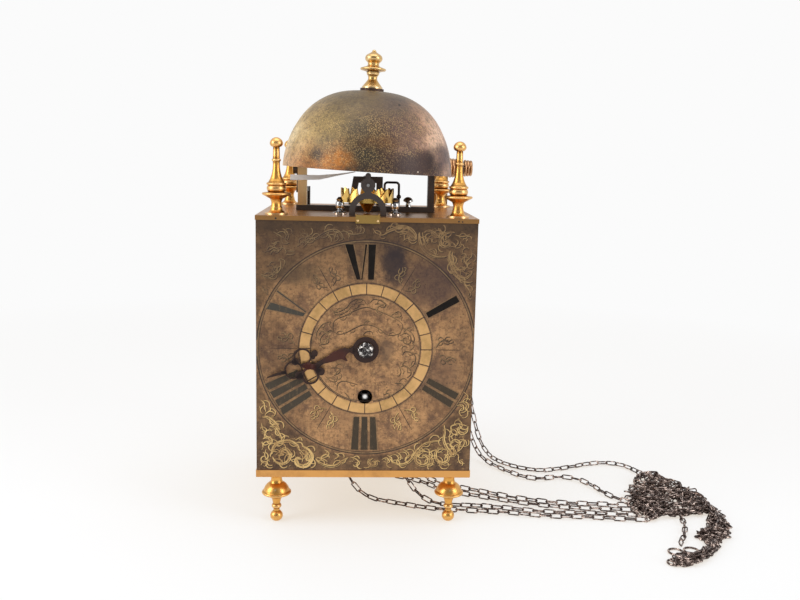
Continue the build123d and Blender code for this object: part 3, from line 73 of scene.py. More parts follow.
STRIKE_CHAIN = [
    (230, -55, 2.6), (208, -53.5, 2.6), (186, -51.5, 2.6), (163, -48, 2.6), (143, -42, 2.6),
    (125, -35.5, 2.6), (109, -28, 2.6), (92, -21, 2.6), (76, -13, 2.6), (63, -1, 2.6), (52, 12, 2.6),
    (37, 21, 2.6), (20, 26, 2.6), (4, 28.5, 6), (-12, 28, 23), (-25, 28, 46), (-25, 28, 60),
    (-25, 28, 106), (-25, 28, 119.1), (-10.4, 28, 133.7), (10.4, 28, 133.7), (25, 28, 119.1),
    (25, 28, 106), (25, 28, 60), (25, 28, 46), (36, 28, 25), (46, 27, 10), (56, 21, 3.6), (67, 10.5, 2.6),
    (78, 0, 2.6), (91, -7, 2.6), (106, -14, 2.6), (122, -23, 2.6), (140, -32, 2.6), (160, -38.5, 2.6),
    (183, -42, 2.6), (207, -43.5, 2.6), (230, -45, 2.6),
]
ALARM_CHAIN = [
    (233, -40, 2.6), (219, -24, 2.6), (213, -5, 2.6), (206, 11, 2.6), (194, 21.5, 2.6), (179, 21, 2.6),
    (165, 16.5, 2.6), (151, 22, 2.6), (139, 36, 2.6), (128, 53, 2.6), (118, 68, 5), (110, 79, 18),
    (103, 86, 44), (98, 89, 84), (94, 89.6, 134), (92.3, 89.6, 188), (91.5, 89.6, 240), (91.5, 89.6, 278),
    (91.5, 89.6, 289.5), (91.5, 94.5, 294.4), (91.5, 101.5, 294.4), (91.5, 106.4, 289.5), (91.5, 106.4, 278),
    (91.5, 106.4, 236), (94, 106.4, 180), (99.5, 106, 122), (106.5, 105, 76), (113, 103, 40), (119, 97, 15),
    (126, 84, 4), (132, 68, 2.6), (142, 54, 2.6), (156, 43, 2.6), (172, 38, 2.6), (188, 43, 2.6),
    (202, 48, 2.6), (218, 56, 2.6), (235, 61, 2.6), (251, 58, 2.6), (262, 45, 2.6), (264, 36, 2.6),
]
dice = random.Random(11)


def smooth_route(points):
    """The even line that a chain hangs and lies along, as close points in metres."""
    curve = bpy.data.curves.new("route", "CURVE")
    curve.dimensions, curve.resolution_u = "3D", 16
    spline = curve.splines.new("NURBS")
    spline.points.add(len(points) - 1)
    for point, place in zip(spline.points, points):
        point.co = (place[0] * MM, place[1] * MM, place[2] * MM, 1)
    spline.order_u, spline.use_endpoint_u = 3, True
    holder = bpy.data.objects.new("route", curve)
    bpy.context.scene.collection.objects.link(holder)
    line = bpy.data.meshes.new_from_object(holder)
    route = [v.co.copy() for v in line.vertices]
    bpy.data.objects.remove(holder)
    bpy.data.meshes.remove(line)
    return route


def piece(name, verts, faces):
    """A new object from corners in millimetres."""
    mesh = bpy.data.meshes.new(name)
    mesh.from_pydata([Vector(v) * MM for v in verts], [], faces)
    mesh.validate()
    mesh.shade_smooth()
    made = bpy.data.objects.new(name, mesh)
    bpy.context.scene.collection.objects.link(made)
    return made


def add_link(verts, faces, centre, along, side, length=LINK_L, width=LINK_W, wire=WIRE, around=14, ring=6):
    """One link of round wire: a long loop that lies in the plane of along and side."""
    normal, base = along.cross(side), len(verts)
    end_r, half = (width - wire) / 2, (length - width) / 2
    for i in range(around):
        a = 2 * math.pi * (i + 0.5) / around
        out = along * math.cos(a) + side * math.sin(a)
        middle = centre + out * end_r + along * math.copysign(half, math.cos(a))
        for k in range(ring):
            b = 2 * math.pi * k / ring
            verts.append(middle + (out * math.cos(b) + normal * math.sin(b)) * wire / 2)
    for i in range(around):
        j = (i + 1) % around
        for k in range(ring):
            n = (k + 1) % ring
            faces.append((base + i * ring + k, base + j * ring + k, base + j * ring + n, base + i * ring + n))


def chain_links(verts, faces, route, sway=16.0):
    """Links along a route, each turned a quarter against the last and a little off true."""
    steps = [0.0]
    for a, b in zip(route, route[1:]):
        steps.append(steps[-1] + (b - a).length / MM)

    def place(s):
        s = min(max(s, 0), steps[-1])
        i = min(next(k for k in range(1, len(steps)) if steps[k] >= s - 1e-9), len(steps) - 1)
        share = (s - steps[i - 1]) / max(steps[i] - steps[i - 1], 1e-9)
        return route[i - 1].lerp(route[i], share) / MM

    count, up = math.ceil(steps[-1] / PITCH), Vector((0, 0, 1))
    step = steps[-1] / count
    for n in range(count):
        s = (n + 0.5) * step
        along = (place(s + step / 2) - place(s - step / 2)).normalized()
        up = (up - along * up.dot(along)).normalized()
        roll = math.radians(90 * (n % 2) + dice.uniform(-sway, sway))
        side = up * math.cos(roll) + along.cross(up) * math.sin(roll)
        add_link(verts, faces, place(s), along, side)


def finish_tree(name):
    """An empty metal finish: its node tree, its Principled shader, and itself."""
    made = bpy.data.materials.new(name)
    made.use_nodes = True
    tree = made.node_tree
    return tree, tree.nodes["Principled BSDF"], made


def add(tree, kind, link=(), **values):
    """A shader node with values on its sockets, and links into them from other sockets."""
    made = tree.nodes.new(kind)
    for key, value in values.items():
        if hasattr(made, key):
            setattr(made, key, value)
        else:
            made.inputs[key.replace("_", " ")].default_value = value
    for key, socket in dict(link).items():
        tree.links.new(socket, made.inputs[key])
    return made


def calc(tree, operation, one, two):
    """One arithmetic step on a socket or a number, and its result as a socket."""
    made = tree.nodes.new("ShaderNodeMath")
    made.operation = operation
    for slot, value in enumerate((one, two)):
        if isinstance(value, (int, float)):
            made.inputs[slot].default_value = value
        else:
            tree.links.new(value, made.inputs[slot])
    return made.outputs[0]


def tint(tree, share, under, over):
    """One colour laid over another by a share. Each may be a socket or a plain colour."""
    made = add(tree, "ShaderNodeMix", data_type="RGBA")
    for slot, value in ((0, share), (6, under), (7, over)):
        if isinstance(value, bpy.types.NodeSocket):
            tree.links.new(value, made.inputs[slot])
        else:
            made.inputs[slot].default_value = value if slot == 0 else (*value, 1)
    return made.outputs[2]


def spread(tree, value, low, high, least=0.0, most=1.0):
    """A value between low and high spread evenly from least to most, and held beyond them."""
    made = add(tree, "ShaderNodeMapRange", {"Value": value}, From_Min=low, From_Max=high,
               To_Min=least, To_Max=most)
    return made.outputs[0]


def new_group(name, takes, gives):
    """A shader node group with named inputs and outputs, laid out in the object's own space."""
    group = bpy.data.node_groups.new(name, "ShaderNodeTree")
    for key, (kind, value) in takes.items():
        socket = group.interface.new_socket(key, in_out="INPUT", socket_type=kind)
        socket.default_value = value
    for key, kind in gives.items():
        group.interface.new_socket(key, in_out="OUTPUT", socket_type=kind)
    return group, group.nodes.new("NodeGroupInput"), group.nodes.new("NodeGroupOutput")


COLOUR, VALUE = "NodeSocketColor", "NodeSocketFloat"


def make_mottle():
    """Blotches of one colour over another at two scales: the age of metal that was never cleaned, and on a
    few finishes painted glints.
    """
    group, inside, out = new_group(
        "mottle",
        {"Fresh": (COLOUR, (1, 1, 1, 1)), "Aged": (COLOUR, (0, 0, 0, 1)), "Share": (VALUE, 0.5),
         "Size": (VALUE, 60.0), "Softness": (VALUE, 0.2)},
        {"Colour": COLOUR, "Mask": VALUE},
    )
    place = add(group, "ShaderNodeTexCoord")
    large = add(group, "ShaderNodeTexNoise",
                {"Vector": place.outputs["Object"], "Scale": inside.outputs["Size"]},
                Detail=6.0, Roughness=0.62)
    finer = calc(group, "MULTIPLY", inside.outputs["Size"], 7.0)
    small = add(group, "ShaderNodeTexNoise", {"Vector": place.outputs["Object"], "Scale": finer},
                Detail=3.0, Roughness=0.7)
    both = add(group, "ShaderNodeMix", {2: large.outputs["Fac"], 3: small.outputs["Fac"]}, data_type="FLOAT")
    both.inputs[0].default_value = 0.3
    edge = calc(group, "SUBTRACT", 1.0, inside.outputs["Share"])
    low = calc(group, "SUBTRACT", edge, inside.outputs["Softness"])
    high = calc(group, "ADD", edge, inside.outputs["Softness"])
    mask = add(group, "ShaderNodeMapRange", {"Value": both.outputs[0], "From Min": low, "From Max": high},
               interpolation_type="SMOOTHSTEP")
    mixed = tint(group, mask.outputs[0], inside.outputs["Fresh"], inside.outputs["Aged"])
    group.links.new(mixed, out.inputs["Colour"])
    group.links.new(mask.outputs[0], out.inputs["Mask"])
    return group


def make_edges():
    """Rubbed corners and dirty hollows, found from how sharply the surface turns."""
    group, inside, out = new_group("rubbed_edges", {"Reach": (VALUE, 0.04)},
                                   {"Rubbed": VALUE, "Hollow": VALUE})
    shape = add(group, "ShaderNodeNewGeometry")
    top = calc(group, "ADD", 0.5, inside.outputs["Reach"])
    low = calc(group, "SUBTRACT", 0.5, inside.outputs["Reach"])
    rubbed = add(group, "ShaderNodeMapRange", {"Value": shape.outputs["Pointiness"], "From Max": top},
                 From_Min=0.505)
    hollow = add(group, "ShaderNodeMapRange", {"Value": shape.outputs["Pointiness"], "From Max": low},
                 From_Min=0.495)
    group.links.new(rubbed.outputs[0], out.inputs["Rubbed"])
    group.links.new(hollow.outputs[0], out.inputs["Hollow"])
    return group


def make_surface():
    """Small unevenness of a worked metal face, as a height: file marks along one way and pits."""
    group, inside, out = new_group(
        "worked_face", {"Size": (VALUE, 400.0), "Along X": (VALUE, 1.0), "Along Z": (VALUE, 1.0)},
        {"Height": VALUE}
    )
    place = add(group, "ShaderNodeTexCoord")
    ways = add(group, "ShaderNodeCombineXYZ",
               {"X": inside.outputs["Along X"], "Z": inside.outputs["Along Z"]}, Y=1.0)
    scaled = add(group, "ShaderNodeVectorMath", {0: place.outputs["Object"], 1: ways.outputs[0]},
                 operation="MULTIPLY")
    grain = add(group, "ShaderNodeTexNoise", {"Vector": scaled.outputs[0], "Scale": inside.outputs["Size"]},
                Detail=4.0, Roughness=0.6)
    group.links.new(grain.outputs["Fac"], out.inputs["Height"])
    return group


def make_specks():
    """Small round spots scattered over a surface, where metal is pitted or shines through."""
    group, inside, out = new_group("specks", {"Size": (VALUE, 900.0), "Spread": (VALUE, 0.3)},
                                   {"Mask": VALUE})
    place = add(group, "ShaderNodeTexCoord")
    cells = add(group, "ShaderNodeTexVoronoi",
                {"Vector": place.outputs["Object"], "Scale": inside.outputs["Size"]})
    spots = add(group, "ShaderNodeMapRange",
                {"Value": cells.outputs["Distance"], "From Max": inside.outputs["Spread"]},
                From_Min=0.0, To_Min=1.0, To_Max=0.0)
    group.links.new(spots.outputs[0], out.inputs["Mask"])
    return group


def make_stain_or_light():
    """One patch of another colour round a place, with a ragged edge, as damp or heat leaves it. It also lays
    the painted highlight on the winding arbor's tip.
    """
    group, inside, out = new_group(
        "stain_or_light",
        {"Under": (COLOUR, (1, 1, 1, 1)), "Over": (COLOUR, (0, 0, 0, 1)),
         "Middle": ("NodeSocketVector", (0, 0, 0)), "Squeeze": ("NodeSocketVector", (1, 1, 1)),
         "Reach": (VALUE, 0.02), "Strength": (VALUE, 0.8), "Ragged": (VALUE, 0.02)},
        {"Colour": COLOUR},
    )
    place = add(group, "ShaderNodeTexCoord")
    away = add(group, "ShaderNodeVectorMath", {0: place.outputs["Object"], 1: inside.outputs["Middle"]},
               operation="SUBTRACT")
    squeezed = add(group, "ShaderNodeVectorMath", {0: away.outputs[0], 1: inside.outputs["Squeeze"]},
                   operation="MULTIPLY")
    far = add(group, "ShaderNodeVectorMath", {0: squeezed.outputs[0]}, operation="LENGTH")
    cloud = add(group, "ShaderNodeTexNoise", {"Vector": place.outputs["Object"]}, Scale=70.0, Detail=6.0,
                Roughness=0.7)
    ragged = calc(group, "MULTIPLY", calc(group, "SUBTRACT", cloud.outputs["Fac"], 0.5),
                  inside.outputs["Ragged"])
    share = add(group, "ShaderNodeMapRange", {
        "Value": calc(group, "ADD", far.outputs["Value"], ragged), "From Min": inside.outputs["Reach"],
        "From Max": calc(group, "MULTIPLY", inside.outputs["Reach"], 0.3),
        "To Max": inside.outputs["Strength"]},
        interpolation_type="SMOOTHSTEP")
    group.links.new(tint(group, share.outputs[0], inside.outputs["Under"], inside.outputs["Over"]),
                    out.inputs["Colour"])
    return group


MOTTLE, EDGES, SURFACE, SPECKS, STAIN_OR_LIGHT = (
    make_mottle(), make_edges(), make_surface(), make_specks(), make_stain_or_light())


def mottled(tree, fresh_or_glint, aged_or_glint, share, size, soft):
    """Two colours in blotches. The node's Mask says where the second one lies."""
    return add(tree, "ShaderNodeGroup", node_tree=MOTTLE, Fresh=(*fresh_or_glint, 1), Aged=(*aged_or_glint, 1),
               Share=share, Size=size, Softness=soft)


def layered(tree, colour, *layers):
    """A colour with blotches of others over it: the size, share, softness, colour and most of each."""
    for size, share, soft, over, most in layers:
        layer = add(tree, "ShaderNodeGroup", node_tree=MOTTLE, Share=share, Size=size, Softness=soft)
        colour = tint(tree, calc(tree, "MULTIPLY", layer.outputs["Mask"], most), colour, over)
    return colour


def stained_or_lit(tree, colour, over, middle, squeeze, reach, strength, ragged):
    """A colour with one ragged patch of another over it. The patch is placed in metres."""
    patch = add(tree, "ShaderNodeGroup", {"Under": colour}, node_tree=STAIN_OR_LIGHT, Over=(*over, 1), Middle=middle,
                Squeeze=squeeze, Reach=reach, Strength=strength, Ragged=ragged)
    return patch.outputs["Colour"]


def patched(tree, colour, ragged, *patches):
    """A colour with stains over it: the middle, squeeze, reach, colour and strength of each."""
    for middle, squeeze, reach, over, strength in patches:
        colour = stained_or_lit(tree, colour, over, middle, squeeze, reach, strength, ragged)
    return colour


def roughen(tree, shader, size=400.0, along_x=1.0, strength=0.15, depth=0.0002):
    """Gives a finish its tool marks, as a bump."""
    face = add(tree, "ShaderNodeGroup", node_tree=SURFACE, Size=size, Along_X=along_x)
    raised = add(tree, "ShaderNodeBump", {"Height": face.outputs["Height"]}, Strength=strength,
                 Distance=depth)
    tree.links.new(raised.outputs[0], shader.inputs["Normal"])


def metal(name, fresh_or_glint, aged_or_glint, share=0.4, size=60.0, soft=0.15, rubbed=None, rub=0.5, hollow=None,
          hollow_share=0.7, rough=(0.3, 0.5), metallic=1.0, grain=400.0, stretch=1.0, bump=0.15,
          depth=0.0002):
    """A metal finish: blotched with age, on a few finishes with painted glints, bright or dark at its edges,
    dirty in its hollows.
    """
    tree, shader, made = finish_tree(name)
    blotch = mottled(tree, fresh_or_glint, aged_or_glint, share, size, soft)
    edges = add(tree, "ShaderNodeGroup", node_tree=EDGES)
    colour = blotch.outputs["Colour"]
    for over, mask, most in ((hollow, "Hollow", hollow_share), (rubbed, "Rubbed", rub)):
        if over:
            colour = tint(tree, calc(tree, "MULTIPLY", edges.outputs[mask], most), colour, over)
    tree.links.new(colour, shader.inputs["Base Color"])
    dull = spread(tree, blotch.outputs["Mask"], 0.0, 1.0, *rough)
    tree.links.new(dull, shader.inputs["Roughness"])
    shader.inputs["Metallic"].default_value = metallic
    roughen(tree, shader, size=grain, along_x=stretch, strength=bump, depth=depth)
    return made


def at_corners(kind):
    """The names of the four turned pieces of a kind, one at each corner of the case."""
    return [f"{kind}_{end}_{side}" for end in ("front", "rear") for side in ("left", "right")]


def dress(material, *names):
    """Puts a finish on the CAD pieces of those names."""
    for name in names:
        skin = nodes[name].data.materials
        if not skin:
            skin.append(material)
        for place in range(len(skin)):
            skin[place] = material


# The chains' near-black iron carries pale pinkish blotches, glossier than the rest: painted glints on the
# wire.
chain_iron = metal("chain_iron", (0.078, 0.053, 0.046), (0.66, 0.53, 0.47), share=0.46, size=230.0, soft=0.04,
                   rough=(0.40, 0.22), metallic=0.85, grain=900.0, bump=0.25)
for name, points in (
    ("going_chain", GOING_CHAIN), ("strike_chain", STRIKE_CHAIN), ("alarm_chain", ALARM_CHAIN),
):
    route = smooth_route(points)
    verts, faces = [], []
    chain_links(verts, faces, route)
    chain = piece(name + "_links", verts, faces)
    chain.data.materials.append(chain_iron)
    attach(chain, "case")
    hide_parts(name)
    length = sum((b - a).length for a, b in zip(route, route[1:]))
    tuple(route[0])

# ---- Heap of chain
# What is left of the chains lies in one heap: a mat of links, strands doubled back over it, joins to
# the six chain ends, and a tail with three split rings near its end.
MAT = (
    ((230, -45), (234, -21), (246, 4), (259, 24), (270, 33), (283, 25), (292, 7), (303, -14), (305, -42),
     (299, -58), (286, -67), (267, -72), (246, -75), (238, -77), (230, -63)),
    ((302, -44), (306, -60), (301, -91), (292, -110), (280, -118), (269, -113), (264, -103), (273, -96),
     (282, -93), (288, -74), (294, -54)),
    ((289, -106), (279, -123), (260, -145), (246, -157), (231, -158), (227, -152), (235, -143), (243, -140),
     (253, -140), (264, -129), (269, -116)),
)
MAT_LINKS = (350, 120, 80)
MAT_HEIGHTS, FLAT_BELOW, LINK_REACH = (1.3, 2.6, 2.9, 4.2), 2.5, 4.0
OVER = (
    ((235, -52), (249, -68), (268, -67), (286, -62), (297, -48), (299, -30), (288, -22), (271, -33),
     (252, -42), (239, -34), (241, -18), (256, -16), (276, -20), (292, -8), (284, 7), (268, -2), (252, -1),
     (256, 12), (266, 24), (279, 22)),
    ((299, -58), (296, -76), (289, -97), (275, -101), (271, -110), (284, -115)),
    ((275, -125), (262, -139), (247, -151), (234, -153)),
)
JOINS = (
    ((236, -76, 2.6), (244, -72, 3.4), (254, -65, 4.5)), ((232, -65, 2.6), (242, -62, 3.4), (253, -57, 4.5)),
    ((230, -55, 2.6), (241, -52, 3.4), (253, -46, 4.5)), ((230, -45, 2.6), (240, -39, 3.4), (253, -33, 4.5)),
    ((233, -40, 2.6), (243, -31, 3.4), (257, -26, 4.5)), ((264, 36, 2.6), (266, 29, 3.4), (268, 20, 4.5)),
)
LOOSE_END = ((268, -66, 2.6), (266, -80, 2.6), (262, -94, 2.6), (256, -108, 2.6), (247, -123, 2.6))
RINGS, RING_WIRE, RING_HEIGHT = ((240, -133, 12.6), (253, -131, 12.6), (232, -151, 11.0)), 1.7, 1.1


def inside_edge(x, y, edge):
    """Whether a place lies inside a closed edge."""
    hit = False
    for (x0, y0), (x1, y1) in zip(edge, edge[1:] + edge[:1]):
        if (y0 > y) != (y1 > y) and x < x0 + (y - y0) * (x1 - x0) / (y1 - y0):
            hit = not hit
    return hit


def lay_mat(verts, faces, edge, count):
    """Short strands dropped at random within an edge, each link turned against the last."""
    low_x, high_x = min(x for x, _ in edge), max(x for x, _ in edge)
    low_y, high_y = min(y for _, y in edge), max(y for _, y in edge)
    laid = 0
    while laid < count:
        x, y = dice.uniform(low_x, high_x), dice.uniform(low_y, high_y)
        heading, height = dice.uniform(0, 2 * math.pi), dice.choice(MAT_HEIGHTS)
        for n in range(dice.randint(3, 8)):
            ahead = Vector((math.cos(heading), math.sin(heading), 0))
            if not all(inside_edge(x + ahead.x * far, y + ahead.y * far, edge)
                       for far in (-LINK_REACH, 0.0, LINK_REACH)):
                break
            roll = math.radians((90 if n % 2 else 0) + dice.uniform(-30, 30))
            if height < FLAT_BELOW:
                roll = math.radians(dice.uniform(-12, 12))
            side = Vector((-ahead.y, ahead.x, 0)) * math.cos(roll) + Vector((0, 0, 1)) * math.sin(roll)
            add_link(verts, faces, Vector((x, y, height)), ahead, side)
            laid += 1
            heading += dice.uniform(-0.7, 0.7)
            x, y = x + math.cos(heading) * PITCH, y + math.sin(heading) * PITCH


verts, faces = [], []
for edge, count in zip(MAT, MAT_LINKS):
    lay_mat(verts, faces, edge, count)
for strand in OVER:
    top = [(x, y, 5.9 + dice.uniform(-0.5, 0.4)) for x, y in strand]
    chain_links(verts, faces, smooth_route(top), sway=35.0)
    beside = [(x + dice.uniform(-4, 4), y + dice.uniform(-4, 4), 5.0) for x, y in strand]
    chain_links(verts, faces, smooth_route(beside[1:-1] if len(beside) > 6 else beside), sway=40.0)
for strand in (*JOINS, LOOSE_END):
    chain_links(verts, faces, smooth_route(strand), sway=35.0)
for x, y, size in RINGS:
    add_link(verts, faces, Vector((x, y, RING_HEIGHT)), Vector((1, 0.1, 0)).normalized(),
             Vector((-0.1, 1, 0)).normalized(), length=size + 0.1, width=size, wire=RING_WIRE,
             around=26, ring=8)
heap = piece("chain_heap_links", verts, faces)
heap.data.materials.append(chain_iron)
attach(heap, "case")
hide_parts("chain_pile")

# ---- Feet
# Four turned brass feet, each a ball and disc on a stem, screwed up into the floor plate. They
# are the cleanest brass on the clock, a deep gold that goes orange where they mirror each other.
gold = metal("bright_brass", (0.84, 0.445, 0.115), (0.64, 0.295, 0.056), share=0.42, size=55.0, soft=0.22,
             rubbed=(0.97, 0.78, 0.47), rub=0.60, hollow=(0.14, 0.050, 0.014), hollow_share=0.85,
             rough=(0.31, 0.45), grain=260.0, bump=0.16)
dress(gold, *at_corners("foot"))

# ---- Floor plate and pillars
# The floor plate is a thick brass casting filed flat, with four turned brass pillars riveted
# through it. The doors and the dial hide the pillars, which kept an older, duller skin.
plate_brass = metal("filed_brass", (0.40, 0.188, 0.060), (0.25, 0.106, 0.035), share=0.42, size=38.0,
                    soft=0.12, rubbed=(0.80, 0.47, 0.19), rub=0.25, rough=(0.30, 0.46), grain=120.0,
                    stretch=0.12, bump=0.30)
edge_brass = metal("filed_edge_brass", (0.71, 0.330, 0.084), (0.50, 0.215, 0.056), share=0.42, size=38.0,
                   soft=0.12, rubbed=(0.84, 0.50, 0.21), rub=0.25, rough=(0.30, 0.46), grain=120.0,
                   stretch=0.12, bump=0.30)
old_brass = metal("old_brass", (0.50, 0.29, 0.095), (0.20, 0.11, 0.05), share=0.45, size=70.0, soft=0.2,
                  rubbed=(0.72, 0.47, 0.19), rub=0.5, hollow=(0.05, 0.03, 0.02), rough=(0.30, 0.48),
                  bump=0.15)
dress(edge_brass, "bottom_plate")
dress(old_brass, "corner_pillars")

# ---- Going train
# Three upright brass bars carry the wheels between them. The great wheel and its sprocket turn
# the second wheel, the contrate wheel and, up through the roof, the crown wheel.
bar_brass = metal("bar_brass", (0.46, 0.27, 0.09), (0.19, 0.105, 0.05), share=0.46, size=60.0, soft=0.2,
                  rubbed=(0.70, 0.46, 0.19), rub=0.4, rough=(0.34, 0.52), grain=90.0, stretch=3.0, bump=0.22)
wheel_brass = metal("wheel_brass", (0.62, 0.39, 0.13), (0.30, 0.165, 0.06), share=0.38, size=80.0, soft=0.2,
                    rubbed=(0.88, 0.64, 0.31), rub=0.55, hollow=(0.06, 0.035, 0.02), rough=(0.24, 0.42),
                    bump=0.14)
arbor_steel = metal("turned_steel", (0.38, 0.37, 0.36), (0.15, 0.11, 0.085), share=0.40, size=120.0,
                    soft=0.18, rubbed=(0.62, 0.60, 0.57), rub=0.5, hollow=(0.04, 0.03, 0.025),
                    rough=(0.22, 0.42), grain=600.0, bump=0.12)
dress(bar_brass, "front_bar", "centre_bar", "rear_bar")
WINDING_TIP_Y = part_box("going_great_arbor")[0][1]
dress(wheel_brass, "going_great_wheel", "second_wheel", "contrate_wheel", "hour_wheel")
dress(arbor_steel, "crown_arbor")
# The winding arbor is painted near-black, shade for its place down in the winding hole, with a painted white
# highlight on the front of its square tip.
tree, shader, winding_steel = finish_tree("winding_steel")
painted_hole_shade = mottled(tree, (0.050, 0.042, 0.038), (0.020, 0.016, 0.015), 0.5, 200.0, 0.1)
tip = stained_or_lit(tree, painted_hole_shade.outputs["Colour"], (0.90, 0.89, 0.87), (0.0, WINDING_TIP_Y, 0.1087),
              (1.0, 0.8, 1.0), 0.0024, 1.0, 0.0006)
tree.links.new(tip, shader.inputs["Base Color"])
shader.inputs["Metallic"].default_value = 0.3
shader.inputs["Roughness"].default_value = 0.38
roughen(tree, shader, size=600.0, strength=0.3)
dress(winding_steel, "going_great_arbor")

# ---- Striking train
# Its great wheel lifts the hammer by pins. Above it stand the hoop wheel, the warning wheel and
# the fly, and the notched count wheel turns on a stud behind the rear bar.
forged_iron = metal("forged_iron", (0.042, 0.034, 0.031), (0.020, 0.016, 0.016), share=0.48, size=90.0,
                    soft=0.2, rubbed=(0.20, 0.165, 0.15), rub=0.4, rough=(0.34, 0.58), metallic=0.85,
                    grain=260.0, bump=0.35, depth=0.0003)
dress(wheel_brass, "strike_great_wheel", "hoop_wheel", "warning_wheel", "fly", "count_wheel")
dress(forged_iron, "detent")

# ---- Dial plate
# One square of sheet brass, hammered and scraped, then left to go brown. It is darkest along its
# top and left edges, and a dark stain runs down right of the VI.
DIAL_FRONT, DIAL_MIDDLE = -85.0, 147.1
DIAL_HALF, DIAL_TOP, DIAL_FOOT = 85.0, 99.4, -99.1
tree, shader, dial_brass = finish_tree("dial_brass")
place = add(tree, "ShaderNodeTexCoord")
ways = add(tree, "ShaderNodeSeparateXYZ", {0: place.outputs["Object"]})
blotch = mottled(tree, (0.57, 0.315, 0.142), (0.250, 0.136, 0.072), 0.46, 24.0, 0.12)
colour = layered(
    tree, blotch.outputs["Colour"],
    (85.0, 0.45, 0.07, (0.125, 0.070, 0.054), 0.58),
    (430.0, 0.46, 0.07, (0.095, 0.055, 0.038), 0.55),
    (260.0, 0.40, 0.05, (0.66, 0.42, 0.20), 0.42),
)
for along_x, along_z in ((0.05, 1.0), (1.0, 0.07)):
    brushed = add(tree, "ShaderNodeGroup", node_tree=SURFACE, Size=820.0, Along_X=along_x, Along_Z=along_z)
    scratch = spread(tree, brushed.outputs["Height"], 0.58, 0.70, most=0.34)
    colour = tint(tree, scratch, colour, (0.075, 0.045, 0.032))
drift = add(tree, "ShaderNodeTexNoise", {"Vector": place.outputs["Object"]}, Scale=22.0, Detail=5.0,
            Roughness=0.6)
wander = calc(tree, "MULTIPLY", calc(tree, "SUBTRACT", drift.outputs["Fac"], 0.5), 0.070)
height = calc(tree, "ADD", ways.outputs["Z"], wander)
breadth = calc(tree, "ADD", ways.outputs["X"], wander)
from_middle = add(tree, "ShaderNodeVectorMath", {0: place.outputs["Object"]}, operation="SUBTRACT")
from_middle.inputs[1].default_value = (0.0007, -0.085, DIAL_MIDDLE * MM)
round_middle = add(tree, "ShaderNodeVectorMath", {0: from_middle.outputs[0]}, operation="LENGTH")
edge_dark = None
for value, low, high, most in (
    (height, 0.186, 0.244, 0.88), (breadth, -0.034, -0.096, 0.50), (breadth, 0.050, 0.105, 0.55),
    (round_middle.outputs["Value"], 0.0855, 0.0885, 0.62),
):
    band = spread(tree, value, low, high, most=most)
    edge_dark = calc(tree, "MAXIMUM", edge_dark, band) if edge_dark else band
colour = tint(tree, edge_dark, colour, (0.052, 0.034, 0.024))
colour = patched(
    tree, colour, 0.022,
    ((0.0205, -0.085, 0.2150), (1.3, 1.0, 0.72), 0.020, (0.030, 0.024, 0.030), 0.88),
    ((0.052, -0.085, 0.1990), (0.8, 1.0, 1.0), 0.030, (0.085, 0.052, 0.046), 0.78),
    ((0.060, -0.085, 0.1280), (1.0, 1.0, 1.0), 0.022, (0.130, 0.075, 0.056), 0.50),
    ((-0.052, -0.085, 0.2060), (0.7, 1.0, 1.4), 0.020, (0.115, 0.078, 0.045), 0.50),
    ((-0.020, -0.085, 0.0940), (0.8, 1.0, 1.2), 0.020, (0.190, 0.105, 0.062), 0.40),
    ((0.017, -0.085, 0.1450), (1.0, 1.0, 0.6), 0.009, (0.120, 0.080, 0.060), 0.55),
)
pits = add(tree, "ShaderNodeGroup", node_tree=SPECKS, Size=230.0, Spread=0.14)
colour = tint(tree, calc(tree, "MULTIPLY", pits.outputs["Mask"], 0.85), colour, (0.030, 0.022, 0.020))
tree.links.new(colour, shader.inputs["Base Color"])
dull = spread(tree, blotch.outputs["Mask"], 0.0, 1.0, 0.44, 0.62)
tree.links.new(dull, shader.inputs["Roughness"])
shader.inputs["Metallic"].default_value = 0.6
roughen(tree, shader, size=210.0, strength=0.5, depth=0.0004)
dress(dial_brass, "dial_plate")


def on_dial(u, v, proud):
    """A place on the dial plate's face, from its middle, at a height over it."""
    return (u, DIAL_FRONT - proud, DIAL_MIDDLE + v)


def rounded(points, between=5):
    """A smooth line through points on the dial."""
    line, ends = [], [points[0], *points, points[-1]]
    for before, here, there, after in zip(ends, ends[1:], ends[2:], ends[3:]):
        for k in range(between):
            t = k / between
            line.append(tuple(
                0.5 * (2 * b + (c - a) * t + (2 * a - 5 * b + 4 * c - d) * t * t
                       + (3 * b - a - 3 * c + d) * t ** 3)
                for a, b, c, d in zip(before, here, there, after)
            ))
    return [*line, points[-1]]


def cut_line(verts, faces, points, width, crest, foot, shift=(0.0, 0.0), taper=True, closed=False):
    """A line along points with a raised middle and low sides, thin at its ends."""
    base, count = len(verts), len(points)
    for i, (u, v) in enumerate(points):
        ahead = points[(i + 1) % count] if closed or i + 1 < count else points[i]
        behind = points[i - 1] if closed or i else points[i]
        du, dv = ahead[0] - behind[0], ahead[1] - behind[1]
        far = max(math.hypot(du, dv), 1e-9)
        share = math.sin(math.pi * (0.06 + 0.88 * i / (count - 1))) ** 0.5 if taper else 1.0
        half = width / 2 * share
        for side, proud in ((-1, foot), (0, crest), (1, foot)):
            verts.append(on_dial(u + shift[0] - dv / far * half * side,
                                 v + shift[1] + du / far * half * side, proud))
    for i in range(count if closed else count - 1):
        a, b = base + 3 * i, base + 3 * ((i + 1) % count)
        faces += [(a, b, b + 1, a + 1), (a + 1, b + 1, b + 2, a + 2)]


def arc(radius, low=0.0, high=360.0, steps=144, middle=(0.0, 0.0)):
    """Places round a circle on the dial, in degrees clockwise from the top."""
    turns = [math.radians(low + (high - low) * k / steps) for k in range(steps + (high - low < 360))]
    return [(middle[0] + radius * math.sin(a), middle[1] + radius * math.cos(a)) for a in turns]


def dial_piece(name, verts, faces, material):
    """A part of the dial's work, that stays with the case and takes the given finish."""
    made = piece(name, verts, faces)
    made.data.materials.append(material)
    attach(made, "case")
    return made
